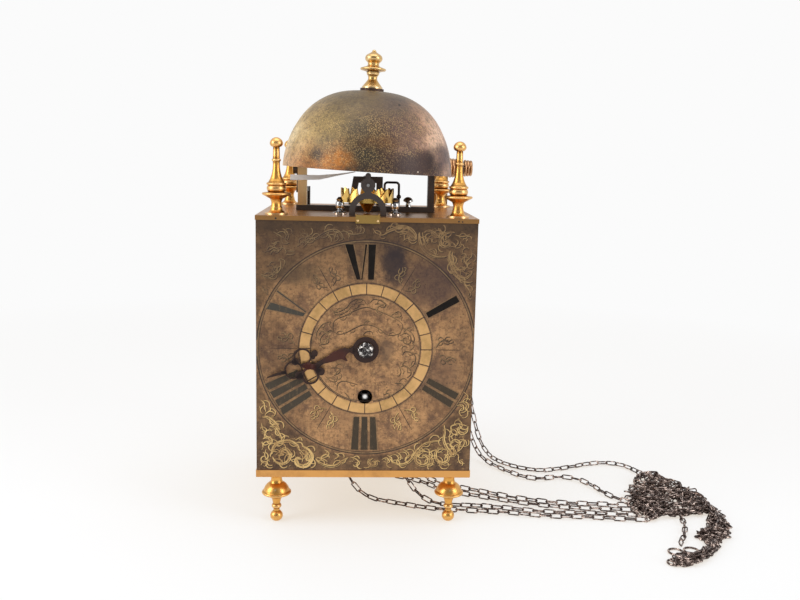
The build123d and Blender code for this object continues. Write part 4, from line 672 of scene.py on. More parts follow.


# ---- Engraved scrolls
# Leaf scrolls in the four corners and inside the quarter ring, cut by hand with a graver. Each cut is a
# raised bright line, partly burnished metal and partly painted highlight, with a painted shadow line
# beside it on the side away from the light.
BOTTOM_LEFT = (
    (1.0, (-72.5, -88), (-69.5, -92), (-65, -93.5), (-61, -91.5), (-59, -87), (-60.5, -83.5), (-63, -82),
     (-65.5, -83.5), (-65, -86), (-63, -86)),
    (1.1, (-73, -86), (-72.5, -81), (-69, -76.5), (-63, -74.5), (-57.5, -75), (-52.5, -78.5), (-51, -83)),
    (1.3, (-48.5, -79), (-43.5, -82), (-40.5, -87), (-41.5, -91.5), (-44.5, -95.5), (-49, -96.5),
     (-53.5, -94.5), (-54.5, -91), (-53, -88.5), (-50, -89.5)),
    (0.9, (-80, -73.5), (-77, -71.5), (-74, -72.5), (-72.5, -75), (-74, -77), (-76, -76.5), (-76.5, -75)),
    (1.0, (-80.5, -55.5), (-76.5, -55), (-72.5, -57.5), (-69, -61), (-66.5, -66)),
    (0.8, (-74.5, -63), (-71, -63), (-68, -66.5), (-66, -70.5), (-65, -73)),
    (0.6, (-81, -60.5), (-80, -65.5), (-77.5, -67.5), (-81, -67.5)),
    (0.7, (-81.5, -41.5), (-79, -44), (-78.5, -47.5), (-77.5, -51)),
    (0.6, (-74.5, -46.5), (-74, -49.5), (-76.5, -52)),
    (0.8, (-38.5, -89.5), (-34, -93), (-28, -95), (-22, -94.5), (-17.5, -91), (-12.5, -88.5)),
    (0.7, (-37.5, -88.5), (-32.5, -89.5), (-29, -92)),
    (0.7, (-31.5, -82), (-28, -84.5), (-29, -87.5), (-32.5, -88.5)),
    (0.7, (-23.5, -84.5), (-20, -87), (-23.5, -90)),
    (0.6, (-54, -74), (-50.5, -72), (-49, -75)),
    (0.6, (-51.5, -81), (-48.5, -85), (-45.5, -87), (-45.5, -91.5)),
    (0.5, (-51, -84.5), (-48.5, -88), (-49, -92.5)),
    (0.5, (-46.5, -82), (-43.5, -87), (-44, -91.5)),
    (0.6, (-11, -88), (-6.5, -89.5), (-3.5, -93), (-6.5, -96), (-8.5, -94.5)),
    (0.6, (-81.5, -95), (-79.5, -92), (-76.5, -93), (-78.5, -96)),
    (0.5, (-73, -83.5), (-69.5, -82), (-67, -83.5), (-69.5, -86)),
    (0.5, (-77.5, -82), (-78.5, -86), (-77.5, -89.5), (-74.5, -92)),
)
BOTTOM_RIGHT = (
    (1.0, (21, -89.5), (24.5, -92.5), (30.5, -93.5), (36, -91), (39.5, -86), (43, -81), (48, -76.5),
     (54.5, -74.5), (61, -74)),
    (1.0, (49.5, -83.5), (45.5, -83), (42, -86.5), (42.5, -91.5), (46.5, -94), (50.5, -92.5), (51, -89),
     (48.5, -86.5), (46.5, -87.5)),
    (0.8, (53.5, -87.5), (55.5, -90.5), (54.5, -94.5), (51.5, -95.5)),
    (1.0, (66, -82), (61, -81), (58, -84), (58.5, -89), (62.5, -92), (66.5, -90.5), (67, -87.5), (64, -85.5)),
    (0.9, (63.5, -61), (64.5, -67), (64, -73), (66, -78.5), (69, -82.5), (71.5, -86), (72, -83), (70, -79.5),
     (68, -78)),
    (0.8, (68.5, -78.5), (70.5, -74), (73.5, -73), (76.5, -75), (76, -78), (73.5, -78.5)),
    (0.8, (82.5, -62), (82, -66.5), (78, -69), (75, -67), (74.5, -63.5), (76.5, -62.5)),
    (0.7, (70, -62), (73.5, -60), (77.5, -60.5), (82, -62)),
    (0.7, (75, -42.5), (80, -42), (82.5, -45.5), (79.5, -50), (75.5, -51)),
    (0.6, (73, -45), (77.5, -44.5), (78.5, -48), (76, -49)),
    (0.6, (78, -34), (81.5, -37), (80.5, -41.5)),
    (0.7, (14.5, -90), (18, -88.5), (20.5, -91.5), (18, -93.5)),
    (0.7, (18.5, -86.5), (22, -88.5), (22.5, -92)),
    (0.7, (26, -84), (29, -86), (29.5, -89.5), (26.5, -91)),
    (0.6, (31, -81.5), (35, -84), (36, -87.5), (33, -89.5)),
    (0.8, (7.5, -89), (4, -91.5), (6, -94.5), (9.5, -94), (8.5, -91.5), (6.5, -92)),
    (0.6, (45, -79.5), (49, -83), (53.5, -83.5), (57, -81.5)),
    (0.6, (73, -84.5), (77, -81.5), (80, -76.5), (79, -72)),
    (0.5, (68, -67), (70.5, -64.5), (73.5, -67), (72.5, -70.5)),
    (0.5, (59.5, -91.5), (64.5, -94.5), (70.5, -93.5)),
    (0.5, (75.5, -88), (77, -92.5), (81, -93)),
)
TOP_RIGHT = (
    (1.0, (37.5, 86.5), (36, 90.5), (31.5, 94.5), (25, 95.5), (19.5, 93.5), (13, 90.5)),
    (0.8, (23.5, 92), (29.5, 92.5), (34, 90), (37.5, 86)),
    (0.6, (24.5, 90), (28.5, 91), (32.5, 89.5), (34.5, 87)),
    (1.1, (39.5, 92), (40.5, 86), (43, 80.5), (47, 76.5), (52.5, 74), (61, 74)),
    (0.7, (42, 92), (43, 86.5), (45, 81), (49, 77.5), (54.5, 75)),
    (0.9, (67, 92.5), (62.5, 92), (59, 90.5), (56.5, 87), (57.5, 83), (60.5, 82), (63, 83.5), (62, 86),
     (60.5, 85)),
    (0.7, (67.5, 90.5), (73, 89.5), (78.5, 91)),
    (1.1, (64, 78.5), (63.5, 73), (65.5, 67.5), (69, 61.5), (74, 57.5), (78.5, 59), (81.5, 63)),
    (0.8, (65.5, 77.5), (66, 72), (68, 66.5), (71.5, 64), (74.5, 64), (75.5, 66.5)),
    (0.7, (72, 75), (74.5, 76.5), (76.5, 74.5), (74.5, 73)),
    (0.7, (80.5, 79.5), (80.5, 74.5), (77.5, 71.5), (76, 69), (78, 68), (80, 69.5)),
    (0.7, (66.5, 60.5), (71.5, 56), (78, 54), (82, 54.5)),
    (0.7, (75, 52.5), (78.5, 49), (81, 44.5), (78.5, 41.5)),
    (0.8, (43, 92), (46.5, 94), (50.5, 93), (54.5, 89.5), (55.5, 92.5), (54, 95.5)),
    (0.6, (44.5, 84), (46.5, 87), (50, 87), (49, 84.5)),
    (0.6, (27.5, 85.5), (29.5, 87), (32.5, 87), (34, 85.5)),
    (0.6, (4, 94.5), (6.5, 91), (11, 89.5), (15, 91)),
    (0.5, (71.5, 85.5), (72, 82), (69.5, 80.5), (66, 81)),
    (0.5, (73.5, 88), (76.5, 87.5), (76, 85)),
    (0.5, (49.5, 92.5), (52, 91.5), (53, 88.5), (51, 87.5)),
    (0.5, (63, 62.5), (65, 60.5), (66.5, 61.5), (65.5, 64)),
    (0.6, (15, 93), (19.5, 95), (23.5, 96.5), (29.5, 96.5)),
)
TOP_LEFT = (
    (0.7, (-71.5, 90.5), (-67, 88), (-64, 86), (-61, 85.5)),
    (0.7, (-64.5, 93), (-61.5, 91), (-60, 87.5), (-61, 84.5)),
    (0.7, (-78.5, 75), (-74.5, 76.5), (-71, 78.5), (-67.5, 76.5), (-69.5, 74.5), (-71.5, 76.5)),
    (0.8, (-54, 79.5), (-50, 83), (-45.5, 85.5), (-40, 86.5), (-35.5, 89.5), (-30, 92.5), (-24, 93),
     (-19.5, 89.5), (-19, 86), (-22, 84.5)),
    (0.6, (-49, 79), (-45, 83.5), (-43, 86)),
    (0.5, (-61.5, 76), (-55, 76)),
    (0.5, (-62, 73), (-55, 74)),
    (0.8, (-81.5, 58), (-77.5, 56.5), (-74.5, 57), (-71, 59.5), (-68, 63)),
    (0.6, (-77, 64), (-73, 65), (-70.5, 63), (-71.5, 60.5)),
    (0.6, (-32, 90), (-28, 87), (-27.5, 83)),
    (0.7, (-19, 93), (-13.5, 90), (-7.5, 90), (-3, 91)),
    (0.5, (-8.5, 97), (-7.5, 94), (-8, 91)),
    (0.5, (-5.5, 97), (-5, 94), (-6, 91)),
    (0.6, (-23, 92), (-24.5, 88.5), (-22, 87.5)),
    (0.6, (-69, 72), (-66, 67.5), (-66.5, 62), (-69, 58.5)),
    (0.5, (-80, 49), (-78.5, 44.5), (-75.5, 42.5)),
    (0.5, (-73, 82), (-70, 81), (-69, 83)),
    (0.5, (-52, 91), (-49.5, 88), (-46.5, 87), (-45.5, 90)),
)
CENTRE = (
    (0.5, (-25, 13.5), (-25.5, 18.5), (-23.5, 23), (-15.5, 26.5), (-8.5, 30.5), (0, 33), (8, 31),
     (16.5, 27.5), (23.5, 24), (28.5, 19.5), (27, 13.5)),
    (0.5, (-25, 13.5), (-20.5, 11.5), (-15, 13), (-9.5, 16), (-3, 19), (4, 19), (10, 16.5), (14.5, 13),
     (19, 11), (25, 12), (27.5, 13.5)),
    (0.6, (-25.5, 13.5), (-27.5, 14.5), (-33, 11), (-35.5, 6.5), (-33, 3.5), (-29, 5), (-30, 8), (-33, 7)),
    (0.5, (-35.5, 6.5), (-38.5, 10), (-37, 15), (-33, 19.5), (-27, 21.5)),
    (0.6, (27.5, 11.5), (31.5, 13), (35, 10), (34.5, 5), (30.5, 5), (29, 8), (31.5, 9.5)),
    (0.5, (28, 17), (34.5, 14.5), (38, 8.5), (36.5, 4.5)),
    (0.6, (29, -4.5), (30.5, -2), (34.5, -2), (39, -5.5), (38.5, -11.5), (35.5, -14.5)),
    (0.6, (27.5, -14.5), (31, -13), (35, -16), (36, -20), (33, -23)),
    (0.6, (-25.5, 29), (-21.5, 29), (-15.5, 32.5), (-12, 37), (-7, 39.5), (-2.5, 39), (0, 35.5)),
    (0.6, (2.5, 36.5), (6, 39.5), (11, 38.5), (15, 36), (13.5, 33), (10, 34)),
    (0.5, (-26.5, 31.5), (-24.5, 28), (-20, 27), (-14, 30)),
    (0.5, (21.5, 28.5), (25.5, 30), (27, 26.5), (23, 25.5)),
    (0.6, (-27, -15.5), (-21, -15.5), (-20, -19), (-24.5, -21.5)),
    (0.5, (-22, -33), (-21, -28), (-16, -26), (-5.5, -29)),
    (0.6, (-16, -35), (-13, -38.5), (-11.5, -41.5)),
    (0.6, (23.5, -27.5), (28.5, -27.5), (30, -31), (25, -34.5)),
    (0.5, (-2, 11), (0, 13.5), (4, 14), (5.5, 11.5)),
    (0.5, (25.5, -11.5), (28, -18.5), (26, -22)),
    (0.5, (-31, -22), (-27.5, -25.5), (-23, -26.5), (-21.5, -22)),
    (0.5, (14.5, -37), (18.5, -35.5), (19, -38)),
    (0.5, (-10, 35), (-7, 36), (-6.5, 33), (-10, 31.5)),
    (0.5, (6.5, 35.5), (10, 36), (13, 34)),
)
cut_bright = metal("graver_cut", (0.74, 0.50, 0.205), (0.40, 0.235, 0.10), share=0.47, size=110.0, soft=0.12,
                   rough=(0.28, 0.44), metallic=0.75, grain=700.0, bump=0.2)
cut_warm = metal("graver_cut_warm", (0.37, 0.235, 0.110), (0.19, 0.112, 0.062), share=0.48, size=110.0,
                 soft=0.12, rough=(0.34, 0.48), metallic=0.72, grain=700.0, bump=0.2)
cut_dim = metal("graver_cut_dull", (0.31, 0.205, 0.10), (0.155, 0.097, 0.06), share=0.5, size=110.0,
                soft=0.12, rough=(0.40, 0.52), metallic=0.7, grain=700.0, bump=0.2)
# The near-black finish below serves the wax-filled lines and pecks, and the painted shadow lines beside the
# bright cuts.
wax_and_shadow_cut = metal("graver_wax_and_shadow", (0.060, 0.037, 0.026), (0.036, 0.024, 0.019), share=0.5, size=90.0,
                 soft=0.2, rough=(0.55, 0.7), metallic=0.3, grain=700.0, bump=0.1)
wax_and_shadow_verts, wax_and_shadow_faces = [], []
SHADE_CREST, SHADE_FOOT = 0.02, 0.015
CIRCLE_MIDDLE = 0.7
WINDING, WINDING_CLEAR = (0.0, -38.4), 7.6
MIDDLE_IN, MIDDLE_OUT, CORNER_IN, CORNER_HALF = 13.5, 41.6, 87.0, 84.2


def wax_or_shadow_line(points, width, crest=SHADE_CREST, **how):
    """A dark line nearly flush with the plate, for wax-filled cuts and for the painted shadows beside bright
    cuts.
    """
    cut_line(wax_and_shadow_verts, wax_and_shadow_faces, points, width, crest, SHADE_FOOT, **how)


def open_ground(points, inner):
    """Whether a cut stays on its own ground: a corner outside the hour circle, or the middle."""
    for u, v in points:
        far, from_winding = math.hypot(u - CIRCLE_MIDDLE, v), math.hypot(u - WINDING[0], v - WINDING[1])
        if inner and not (MIDDLE_IN < far < MIDDLE_OUT and from_winding > WINDING_CLEAR):
            return False
        on_plate = abs(u) < CORNER_HALF and DIAL_FOOT + 0.8 < v < DIAL_TOP - 0.6
        if not inner and not (far > CORNER_IN and on_plate):
            return False
    return True


def both_sides(verts, faces, line, width, crest=0.24):
    """One graver cut: its raised bright line, partly painted highlight, and a painted shadow line a little
    below and to the right.
    """
    cut_line(verts, faces, line, width, crest, 0.03)
    wax_or_shadow_line(line, width * 1.15, shift=(0.10 + 0.38 * width, -0.12 - 0.46 * width))


def beside(line, k, ahead, off):
    """A place ahead of one point of a line and off to its side."""
    (u, v), (u1, v1) = line[k], line[k + 1]
    far = max(math.hypot(u1 - u, v1 - v), 1e-9)
    along_u, along_v = (u1 - u) / far, (v1 - v) / far
    return (u + along_u * ahead - along_v * off, v + along_v * ahead + along_u * off)


for name, strokes, material, thick, inner in (
    ("engraving_foot_left", BOTTOM_LEFT, cut_bright, 1.45, False),
    ("engraving_foot_right", BOTTOM_RIGHT, cut_bright, 1.25, False),
    ("engraving_top_right", TOP_RIGHT, cut_warm, 1.35, False),
    ("engraving_top_left", TOP_LEFT, cut_dim, 1.10, False),
    ("engraving_middle", CENTRE, cut_warm, 0.95, True),
):
    verts, faces = [], []
    for width, *points in strokes:
        line = rounded(points)
        if inner:
            # In the middle the dark line is the cut, and the thinner bright line laid a little above and left
            # of it is a painted highlight.
            wax_or_shadow_line(line, width * 1.5)
            line = [(u - 0.35, v + 0.40) for u, v in line]
            cut_line(verts, faces, line, width * 0.7, 0.16, 0.03)
        else:
            both_sides(verts, faces, line, width * thick)
        if width >= 0.8:
            second = [beside(line, k, 0, -(1.1 + 0.5 * width) * math.sin(math.pi * k / len(line)) ** 0.6)
                      for k in range(1, len(line) - 1)]
            both_sides(verts, faces, second, width * 0.5 * thick, 0.16)
        for k in range(3, len(line) - 3, 5 if width > 0.55 else 9):
            side, size = (1 if k % 2 else -1), (0.9 + 0.6 * width) * dice.uniform(0.8, 1.3)
            leaf = [beside(line, k, ahead * size, off * size * side)
                    for ahead, off in ((0, 0.3), (0.8, 1.5), (2.3, 2.3), (3.9, 1.7), (4.4, 0.8))]
            if open_ground(leaf, inner):
                both_sides(verts, faces, rounded(leaf, 3), (0.5 if inner else 0.62) * thick, 0.18)
            hatch = [beside(line, k, ahead, off * -side)
                     for ahead, off in ((0.1, 0.5), (0.6, 1.2), (1.4, 1.7))]
            if open_ground(hatch, inner):
                cut_line(verts, faces, hatch, 0.36, 0.12, 0.02)
        # loose pecks of the graver, that fill the ground between the stems
        for _ in range(len(points)):
            k, off = dice.randrange(1, len(line) - 2), dice.choice((-1, 1)) * dice.uniform(1.8, 4.6)
            peck = [beside(line, k, ahead, off + bend) for ahead, bend in ((-1.0, 0), (0, 0.35), (1.1, -0.1))]
            if open_ground(peck, inner):
                if dice.random() < 0.45:
                    cut_line(verts, faces, peck, 0.34, 0.08, 0.02)
                else:
                    wax_or_shadow_line(peck, 0.40)
    dial_piece(name, verts, faces, material)

# ---- Quarter ring
# Twenty-four plain blocks left bright between radial cuts, with a wax-filled line on each side,
# a short arc inside them, and a double circle round the hours.
BLOCK_IN, BLOCK_OUT, BLOCKS = 43.9, 51.3, 24
STEPS = 6
RIM = 2 * (STEPS + 1)
RING_IN, RING_OUT, RING_WIDTH, RING_CREST = 42.9, 52.2, 0.62, 0.025
block_brass = metal("block_brass", (0.74, 0.44, 0.180), (0.47, 0.28, 0.105), share=0.46, size=34.0, soft=0.14,
                    rough=(0.36, 0.5), metallic=0.7, grain=420.0, bump=0.35, depth=0.0003)
verts, faces = [], []
for k in range(BLOCKS):
    low, high = 360.0 * k / BLOCKS + 0.52, 360.0 * (k + 1) / BLOCKS - 0.52
    base = len(verts)
    for inner, outer, start, end, proud in ((BLOCK_IN, BLOCK_OUT, low, high, 0.02),
                                            (BLOCK_IN + 0.35, BLOCK_OUT - 0.35, low + 0.4, high - 0.4, 0.14)):
        for u, v in arc(inner, start, end, STEPS) + arc(outer, end, start, STEPS)[:STEPS + 1]:
            verts.append(on_dial(u, v, proud))
    for i in range(RIM):
        j = (i + 1) % RIM
        faces.append((base + i, base + j, base + RIM + j, base + RIM + i))
    top, last = base + RIM, base + 2 * RIM - 1
    faces += [(top + i, top + i + 1, last - i - 1, last - i) for i in range(STEPS)]
dial_piece("quarter_blocks", verts, faces, block_brass).data.shade_flat()
wax_or_shadow_line(arc(RING_IN, 188.5, 531.5), RING_WIDTH, RING_CREST, taper=False)
wax_or_shadow_line(arc(RING_OUT), RING_WIDTH, RING_CREST, taper=False, closed=True)


def clipped_circle(verts, faces, radius, width, crest):
    """A circle cut round the hours, that runs off the plate where it meets an edge."""
    run, off_plate = [], (99.0, 0.0)
    for u, v in [*arc(radius, 0, 359.999, 240, middle=(CIRCLE_MIDDLE, 0.0)), off_plate]:
        if abs(u) < DIAL_HALF - 0.4:
            run.append((u, v))
        else:
            if len(run) > 2:
                cut_line(verts, faces, run, width, crest, SHADE_FOOT, taper=False)
            run = []


clipped_circle(wax_and_shadow_verts, wax_and_shadow_faces, 85.5, 0.85, RING_CREST)
clipped_circle(wax_and_shadow_verts, wax_and_shadow_faces, 83.7, 0.50, RING_CREST)
wax_or_shadow_line(arc(41.9, 150, 268, 60), 0.45)
for k in range(BLOCKS):
    turn_by = math.radians(360.0 * k / BLOCKS)
    start = 44.0 if k == BLOCKS / 2 else 43.0
    ends = [(r * math.sin(turn_by), r * math.cos(turn_by)) for r in (start, 46.0, 49.0, RING_OUT)]
    wax_or_shadow_line(ends, RING_WIDTH, RING_CREST, taper=False)
verts, faces = [], []
clipped_circle(verts, faces, 84.6, 0.65, 0.07)
cut_line(verts, faces, arc(53.0), 0.35, 0.05, 0.02, taper=False, closed=True)
cut_line(verts, faces, arc(42.2, 189.5, 530.5), 0.40, 0.05, 0.02, taper=False)
dial_piece("hour_circle", verts, faces, cut_dim)

# ---- Half-hour marks
# A long cut on each half hour from the quarter ring outwards, with small leaves curling off it on
# both sides. The lower ones are cut in a brighter finish.
verts, faces, dull_verts, dull_faces = [], [], [], []
for angle in range(30, 360, 60):
    turn_by = math.radians(angle)
    way_u, way_v = math.sin(turn_by), math.cos(turn_by)

    def beside_mark(r, off):
        """A place beside the mark, at a radius and a distance to its right."""
        return (r * way_u + off * way_v, r * way_v - off * way_u)

    wax_or_shadow_line([beside_mark(r, 0.0) for r in (53.0, 58.0, 64.0, 70.0, 75.0)], 0.6)
    for side in (-1, 1):
        wide, long = side * dice.uniform(0.85, 1.1), dice.uniform(-1.5, 1.5)
        for leaf, width in ((((56.5, 2.2), (58.5, 6.2), (62.0, 8.4), (66.0, 7.5), (68.8, 9.6)), 0.70),
                            (((59.0, 6.8), (58.0, 9.2), (59.5, 11.0), (61.6, 10.2), (62.0, 8.6)), 0.62),
                            (((62.5, 8.4), (64.5, 10.9), (67.2, 11.0)), 0.55),
                            (((61.5, 7.8), (63.5, 5.6), (66.2, 5.4), (66.6, 7.2)), 0.62),
                            (((66.0, 7.5), (67.6, 6.0), (69.8, 7.2), (69.0, 8.6)), 0.55),
                            (((57.5, 4.4), (60.5, 4.2), (61.5, 6.4)), 0.50),
                            (((63.6, 9.6), (64.2, 8.2), (66.0, 9.0)), 0.42)):
            line = rounded([beside_mark(r + long, wide * off + dice.uniform(-0.25, 0.25)) for r, off in leaf])
            if way_v < -0.2:
                both_sides(verts, faces, line, width * 1.1)
            else:
                both_sides(dull_verts, dull_faces, line, width)
dial_piece("half_hour_leaves", verts, faces, cut_bright)
dial_piece("half_hour_leaves_dim", dull_verts, dull_faces, cut_dim)

# ---- Hour numerals
# Six roman hours on a six-hour dial, each stroke a flat-bottomed cut filled with black wax. The
# wax has greyed on the left, and a burnished line was cut round each stroke.
tree, shader, wax = finish_tree("hour_wax")
blotch = mottled(tree, (0.009, 0.007, 0.006), (0.020, 0.015, 0.012), 0.42, 110.0, 0.15)
place = add(tree, "ShaderNodeTexCoord")
ways = add(tree, "ShaderNodeSeparateXYZ", {0: place.outputs["Object"]})
lower = spread(tree, ways.outputs["Z"], 0.160, 0.125, most=0.62)
colour = tint(tree, lower, blotch.outputs["Colour"], (0.095, 0.073, 0.050))
to_left = spread(tree, ways.outputs["X"], -0.022, -0.050)
raised = spread(tree, ways.outputs["Z"], 0.140, 0.172, 0.25, 0.72)
colour = tint(tree, calc(tree, "MULTIPLY", to_left, raised), colour, (0.088, 0.080, 0.066))
scuffs = add(tree, "ShaderNodeGroup", node_tree=SURFACE, Size=900.0, Along_X=1.0, Along_Z=0.25)
bare = spread(tree, scuffs.outputs["Height"], 0.57, 0.68, most=0.55)
worn = calc(tree, "MULTIPLY", bare, calc(tree, "MAXIMUM", lower, to_left))
colour = tint(tree, worn, colour, (0.20, 0.135, 0.075))
tree.links.new(colour, shader.inputs["Base Color"])
shader.inputs["Roughness"].default_value = 0.62
shader.inputs["Specular IOR Level"].default_value = 0.12
roughen(tree, shader, size=500.0, strength=0.4)
dress(wax, "dial_numerals")
HOUR_IN, HOUR_OUT = 54.8, 82.0
BAR_IN, BAR_OUT, STEP_IN, STEP_OUT = 4.5, 5.7, 6.4, 7.6
OUTLINE_GAP = 0.45
verts, faces = [], []


def stroke_edge(angle, inner, outer, inner_w, outer_w):
    """The closed line a little outside one stroke of an hour."""
    turn_by = math.radians(angle)
    near, far, gap = HOUR_IN - OUTLINE_GAP, HOUR_OUT + OUTLINE_GAP, OUTLINE_GAP
    corners = ((inner - inner_w / 2 - gap, near), (outer - outer_w / 2 - gap, far),
               (outer + outer_w / 2 + gap, far), (inner + inner_w / 2 + gap, near))
    edge = []
    for (a0, r0), (a1, r1) in zip(corners, corners[1:] + corners[:1]):
        for k in range(6):
            off, r = a0 + (a1 - a0) * k / 6, r0 + (r1 - r0) * k / 6
            edge.append((off * math.cos(turn_by) + r * math.sin(turn_by),
                         -off * math.sin(turn_by) + r * math.cos(turn_by)))
    return edge


strokes = []
for angle, count, shift_in, shift_out in (
    (60, 1, 0, 0), (120, 2, 0, 0), (180, 3, 0, 0), (240, 4, 0, 0), (0, 1, 3.2, 3.8),
):
    for k in range(count):
        off = k - (count - 1) / 2
        strokes.append((angle, shift_in + off * STEP_IN, shift_out + off * STEP_OUT, BAR_IN, BAR_OUT))
for angle, off in ((300, 0.0), (0, -5.4)):
    strokes += [(angle, off - 0.9, off - 8.6, 3.0, 6.2), (angle, off + 1.6, off + 4.6, 0.9, 1.2)]
for stroke in strokes:
    cut_line(verts, faces, stroke_edge(*stroke), 0.34, 0.09, 0.02, taper=False, closed=True)
dial_piece("hour_outlines", verts, faces, cut_dim)
dial_piece("engraving_wax_and_shadows", wax_and_shadow_verts, wax_and_shadow_faces, wax_and_shadow_cut)

# ---- Hand
# One pierced iron hand, sawn and filed from thin sheet, on the front pipe of the hour wheel. A barbed
# shaft carries three thin rings with small knobs between them, and ends in a pointed tip.
tree, shader, hand_iron = finish_tree("hand_iron")
blotch = mottled(tree, (0.017, 0.009, 0.008), (0.008, 0.005, 0.005), 0.45, 160.0, 0.2)
colour = blotch.outputs["Colour"]
for middle, squeeze, reach in (((-0.0230, -0.088, 0.1420), (0.75, 1.0, 1.4), 0.0120),
                               ((-0.0440, -0.088, 0.1335), (1.0, 1.0, 1.0), 0.0075)):
    colour = stained_or_lit(tree, colour, (0.060, 0.013, 0.009), middle, squeeze, reach, 0.85, 0.004)
edges = add(tree, "ShaderNodeGroup", node_tree=EDGES)
colour = tint(tree, calc(tree, "MULTIPLY", edges.outputs["Rubbed"], 0.22), colour, (0.13, 0.075, 0.060))
tree.links.new(colour, shader.inputs["Base Color"])
shader.inputs["Metallic"].default_value = 0.1
dull = spread(tree, blotch.outputs["Mask"], 0.0, 1.0, 0.42, 0.60)
tree.links.new(dull, shader.inputs["Roughness"])
shader.inputs["Specular IOR Level"].default_value = 0.18
roughen(tree, shader, size=450.0, strength=0.6, depth=0.0003)
dress(hand_iron, "hand")
HAND_BACK, HAND_FRONT = 2.05, 3.45
HAND_HOLE_R, HAND_BOSS_R = 6.35, 10.2
SHAFT = ((-9.6, 3.1), (-12.4, 1.1), (-14.6, 0.9), (-16.6, 1.6), (-18.0, 0.7), (-20.4, 0.6), (-22.2, -0.8),
         (-25.0, -1.6), (-28.2, -4.2), (-31.2, -6.4), (-34.4, -8.2), (-38.6, -11.0), (-41.4, -12.0),
         (-41.0, -14.8), (-37.2, -15.4), (-34.8, -13.4), (-32.6, -11.4), (-29.4, -10.6), (-26.8, -9.9),
         (-24.2, -9.2), (-21.0, -8.0), (-18.2, -7.6), (-15.2, -9.0), (-14.0, -8.4), (-15.6, -6.2),
         (-14.2, -3.2), (-12.0, -2.2), (-9.4, -3.4))
TIP = ((-61.4, -16.6), (-66.6, -18.4), (-71.6, -20.3), (-76.2, -22.4), (-76.6, -23.3), (-71.0, -21.8),
       (-66.0, -20.5), (-61.0, -19.9))
HAND_RINGS = ((-49.0, -6.1, 7.0, 5.65), (-56.0, -16.6, 7.1, 6.0), (-42.9, -21.0, 6.9, 5.3))
HAND_KNOBS = ((-39.6, -3.2, 2.6), (-40.8, -6.2, 1.7), (-34.6, -17.6, 3.0), (-37.4, -16.0, 1.9),
              (-54.6, -9.9, 2.9), (-51.4, -21.0, 3.3), (-44.6, -13.2, 3.0), (-47.6, -13.0, 2.0),
              (-41.8, -13.9, 2.2))


def plate_piece(verts, faces, outlines, inset=0.22):
    """A flat piece between rims with its front edges broken. The second rim, if any, is a hole."""
    loops = []
    for n, rim in enumerate(outlines):
        count, rows = len(rim), []
        for proud, shrink in ((HAND_BACK, 0.0), (HAND_FRONT - inset, 0.0), (HAND_FRONT, inset)):
            row = []
            for i, (u, v) in enumerate(rim):
                (u0, v0), (u1, v1) = rim[i - 1], rim[(i + 1) % count]
                far = max(math.hypot(u1 - u0, v1 - v0), 1e-9)
                row.append(len(verts))
                verts.append(on_dial(u - (v1 - v0) / far * shrink, v + (u1 - u0) / far * shrink, proud))
            rows.append(row)
        for low, high in zip(rows, rows[1:]):
            faces += [(low[i], low[(i + 1) % count], high[(i + 1) % count], high[i]) for i in range(count)]
        loops.append(rows)
    if len(loops) == 1:
        faces += [tuple(loops[0][-1]), tuple(reversed(loops[0][0]))]
    else:
        (outer, inner), count = loops, len(outlines[0])
        for row, back in ((-1, False), (0, True)):
            for i in range(count):
                j = (i + 1) % count
                quad = (outer[row][i], outer[row][j], inner[row][-j % count], inner[row][-i % count])
                faces.append(tuple(reversed(quad)) if back else quad)


def circle(u, v, radius, steps, way=1):
    """A round rim on the dial, anticlockwise, or clockwise for a hole."""
    turns = [way * 2 * math.pi * k / steps for k in range(steps)]
    return [(u + radius * math.cos(a), v + radius * math.sin(a)) for a in turns]


verts, faces = [], []
plate_piece(verts, faces, [circle(0, 0, HAND_BOSS_R, 64), circle(0, 0, HAND_HOLE_R, 64, -1)])
boss = piece("hand_boss", verts, faces)
verts, faces = [], []
for u, v, outer, inner in HAND_RINGS:
    plate_piece(verts, faces, [circle(u, v, outer, 48), circle(u + 0.2, v - 0.1, inner, 48, -1)])
for u, v, radius in HAND_KNOBS:
    plate_piece(verts, faces, [circle(u, v, radius, 24)])
plate_piece(verts, faces, [rounded([*SHAFT, SHAFT[0]], 3)[:-1]], 0.3)
plate_piece(verts, faces, [list(TIP)], 0.2)
hand = piece("pierced_hand", verts, faces)
weld = hand.modifiers.new("weld", "BOOLEAN")
weld.operation, weld.solver, weld.use_self, weld.object = "UNION", "EXACT", True, boss
whole = bpy.data.meshes.new_from_object(hand.evaluated_get(bpy.context.evaluated_depsgraph_get()))
hand.modifiers.clear()
hand.data = whole
whole.shade_flat()
bpy.data.objects.remove(boss)
hand.data.materials.append(hand_iron)
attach(hand, "hour")
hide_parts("hand")
# The collet and hour post are dark steel with small sharp bright blotches: painted broken highlights.
collet_steel = metal("collet_steel", (0.72, 0.69, 0.66), (0.022, 0.017, 0.018), share=0.54, size=420.0,
                     soft=0.03, rough=(0.22, 0.55), metallic=0.6, grain=900.0, bump=0.6, depth=0.0004)
dress(collet_steel, "hand_collet", "hour_post")

# ---- Dial catch
# A small brass tongue on the roof plate that holds the dial's top edge, bent over it and held by
# two bright round-headed pins.
catch_brass = metal("catch_brass", (0.42, 0.255, 0.062), (0.25, 0.135, 0.036), share=0.42, size=140.0,
                    soft=0.12, rubbed=(0.72, 0.50, 0.20), rub=0.25, rough=(0.34, 0.48), grain=420.0,
                    bump=0.3)
dress(catch_brass, "dial_catch")
CATCH_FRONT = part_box("dial_catch")[0][1] / MM


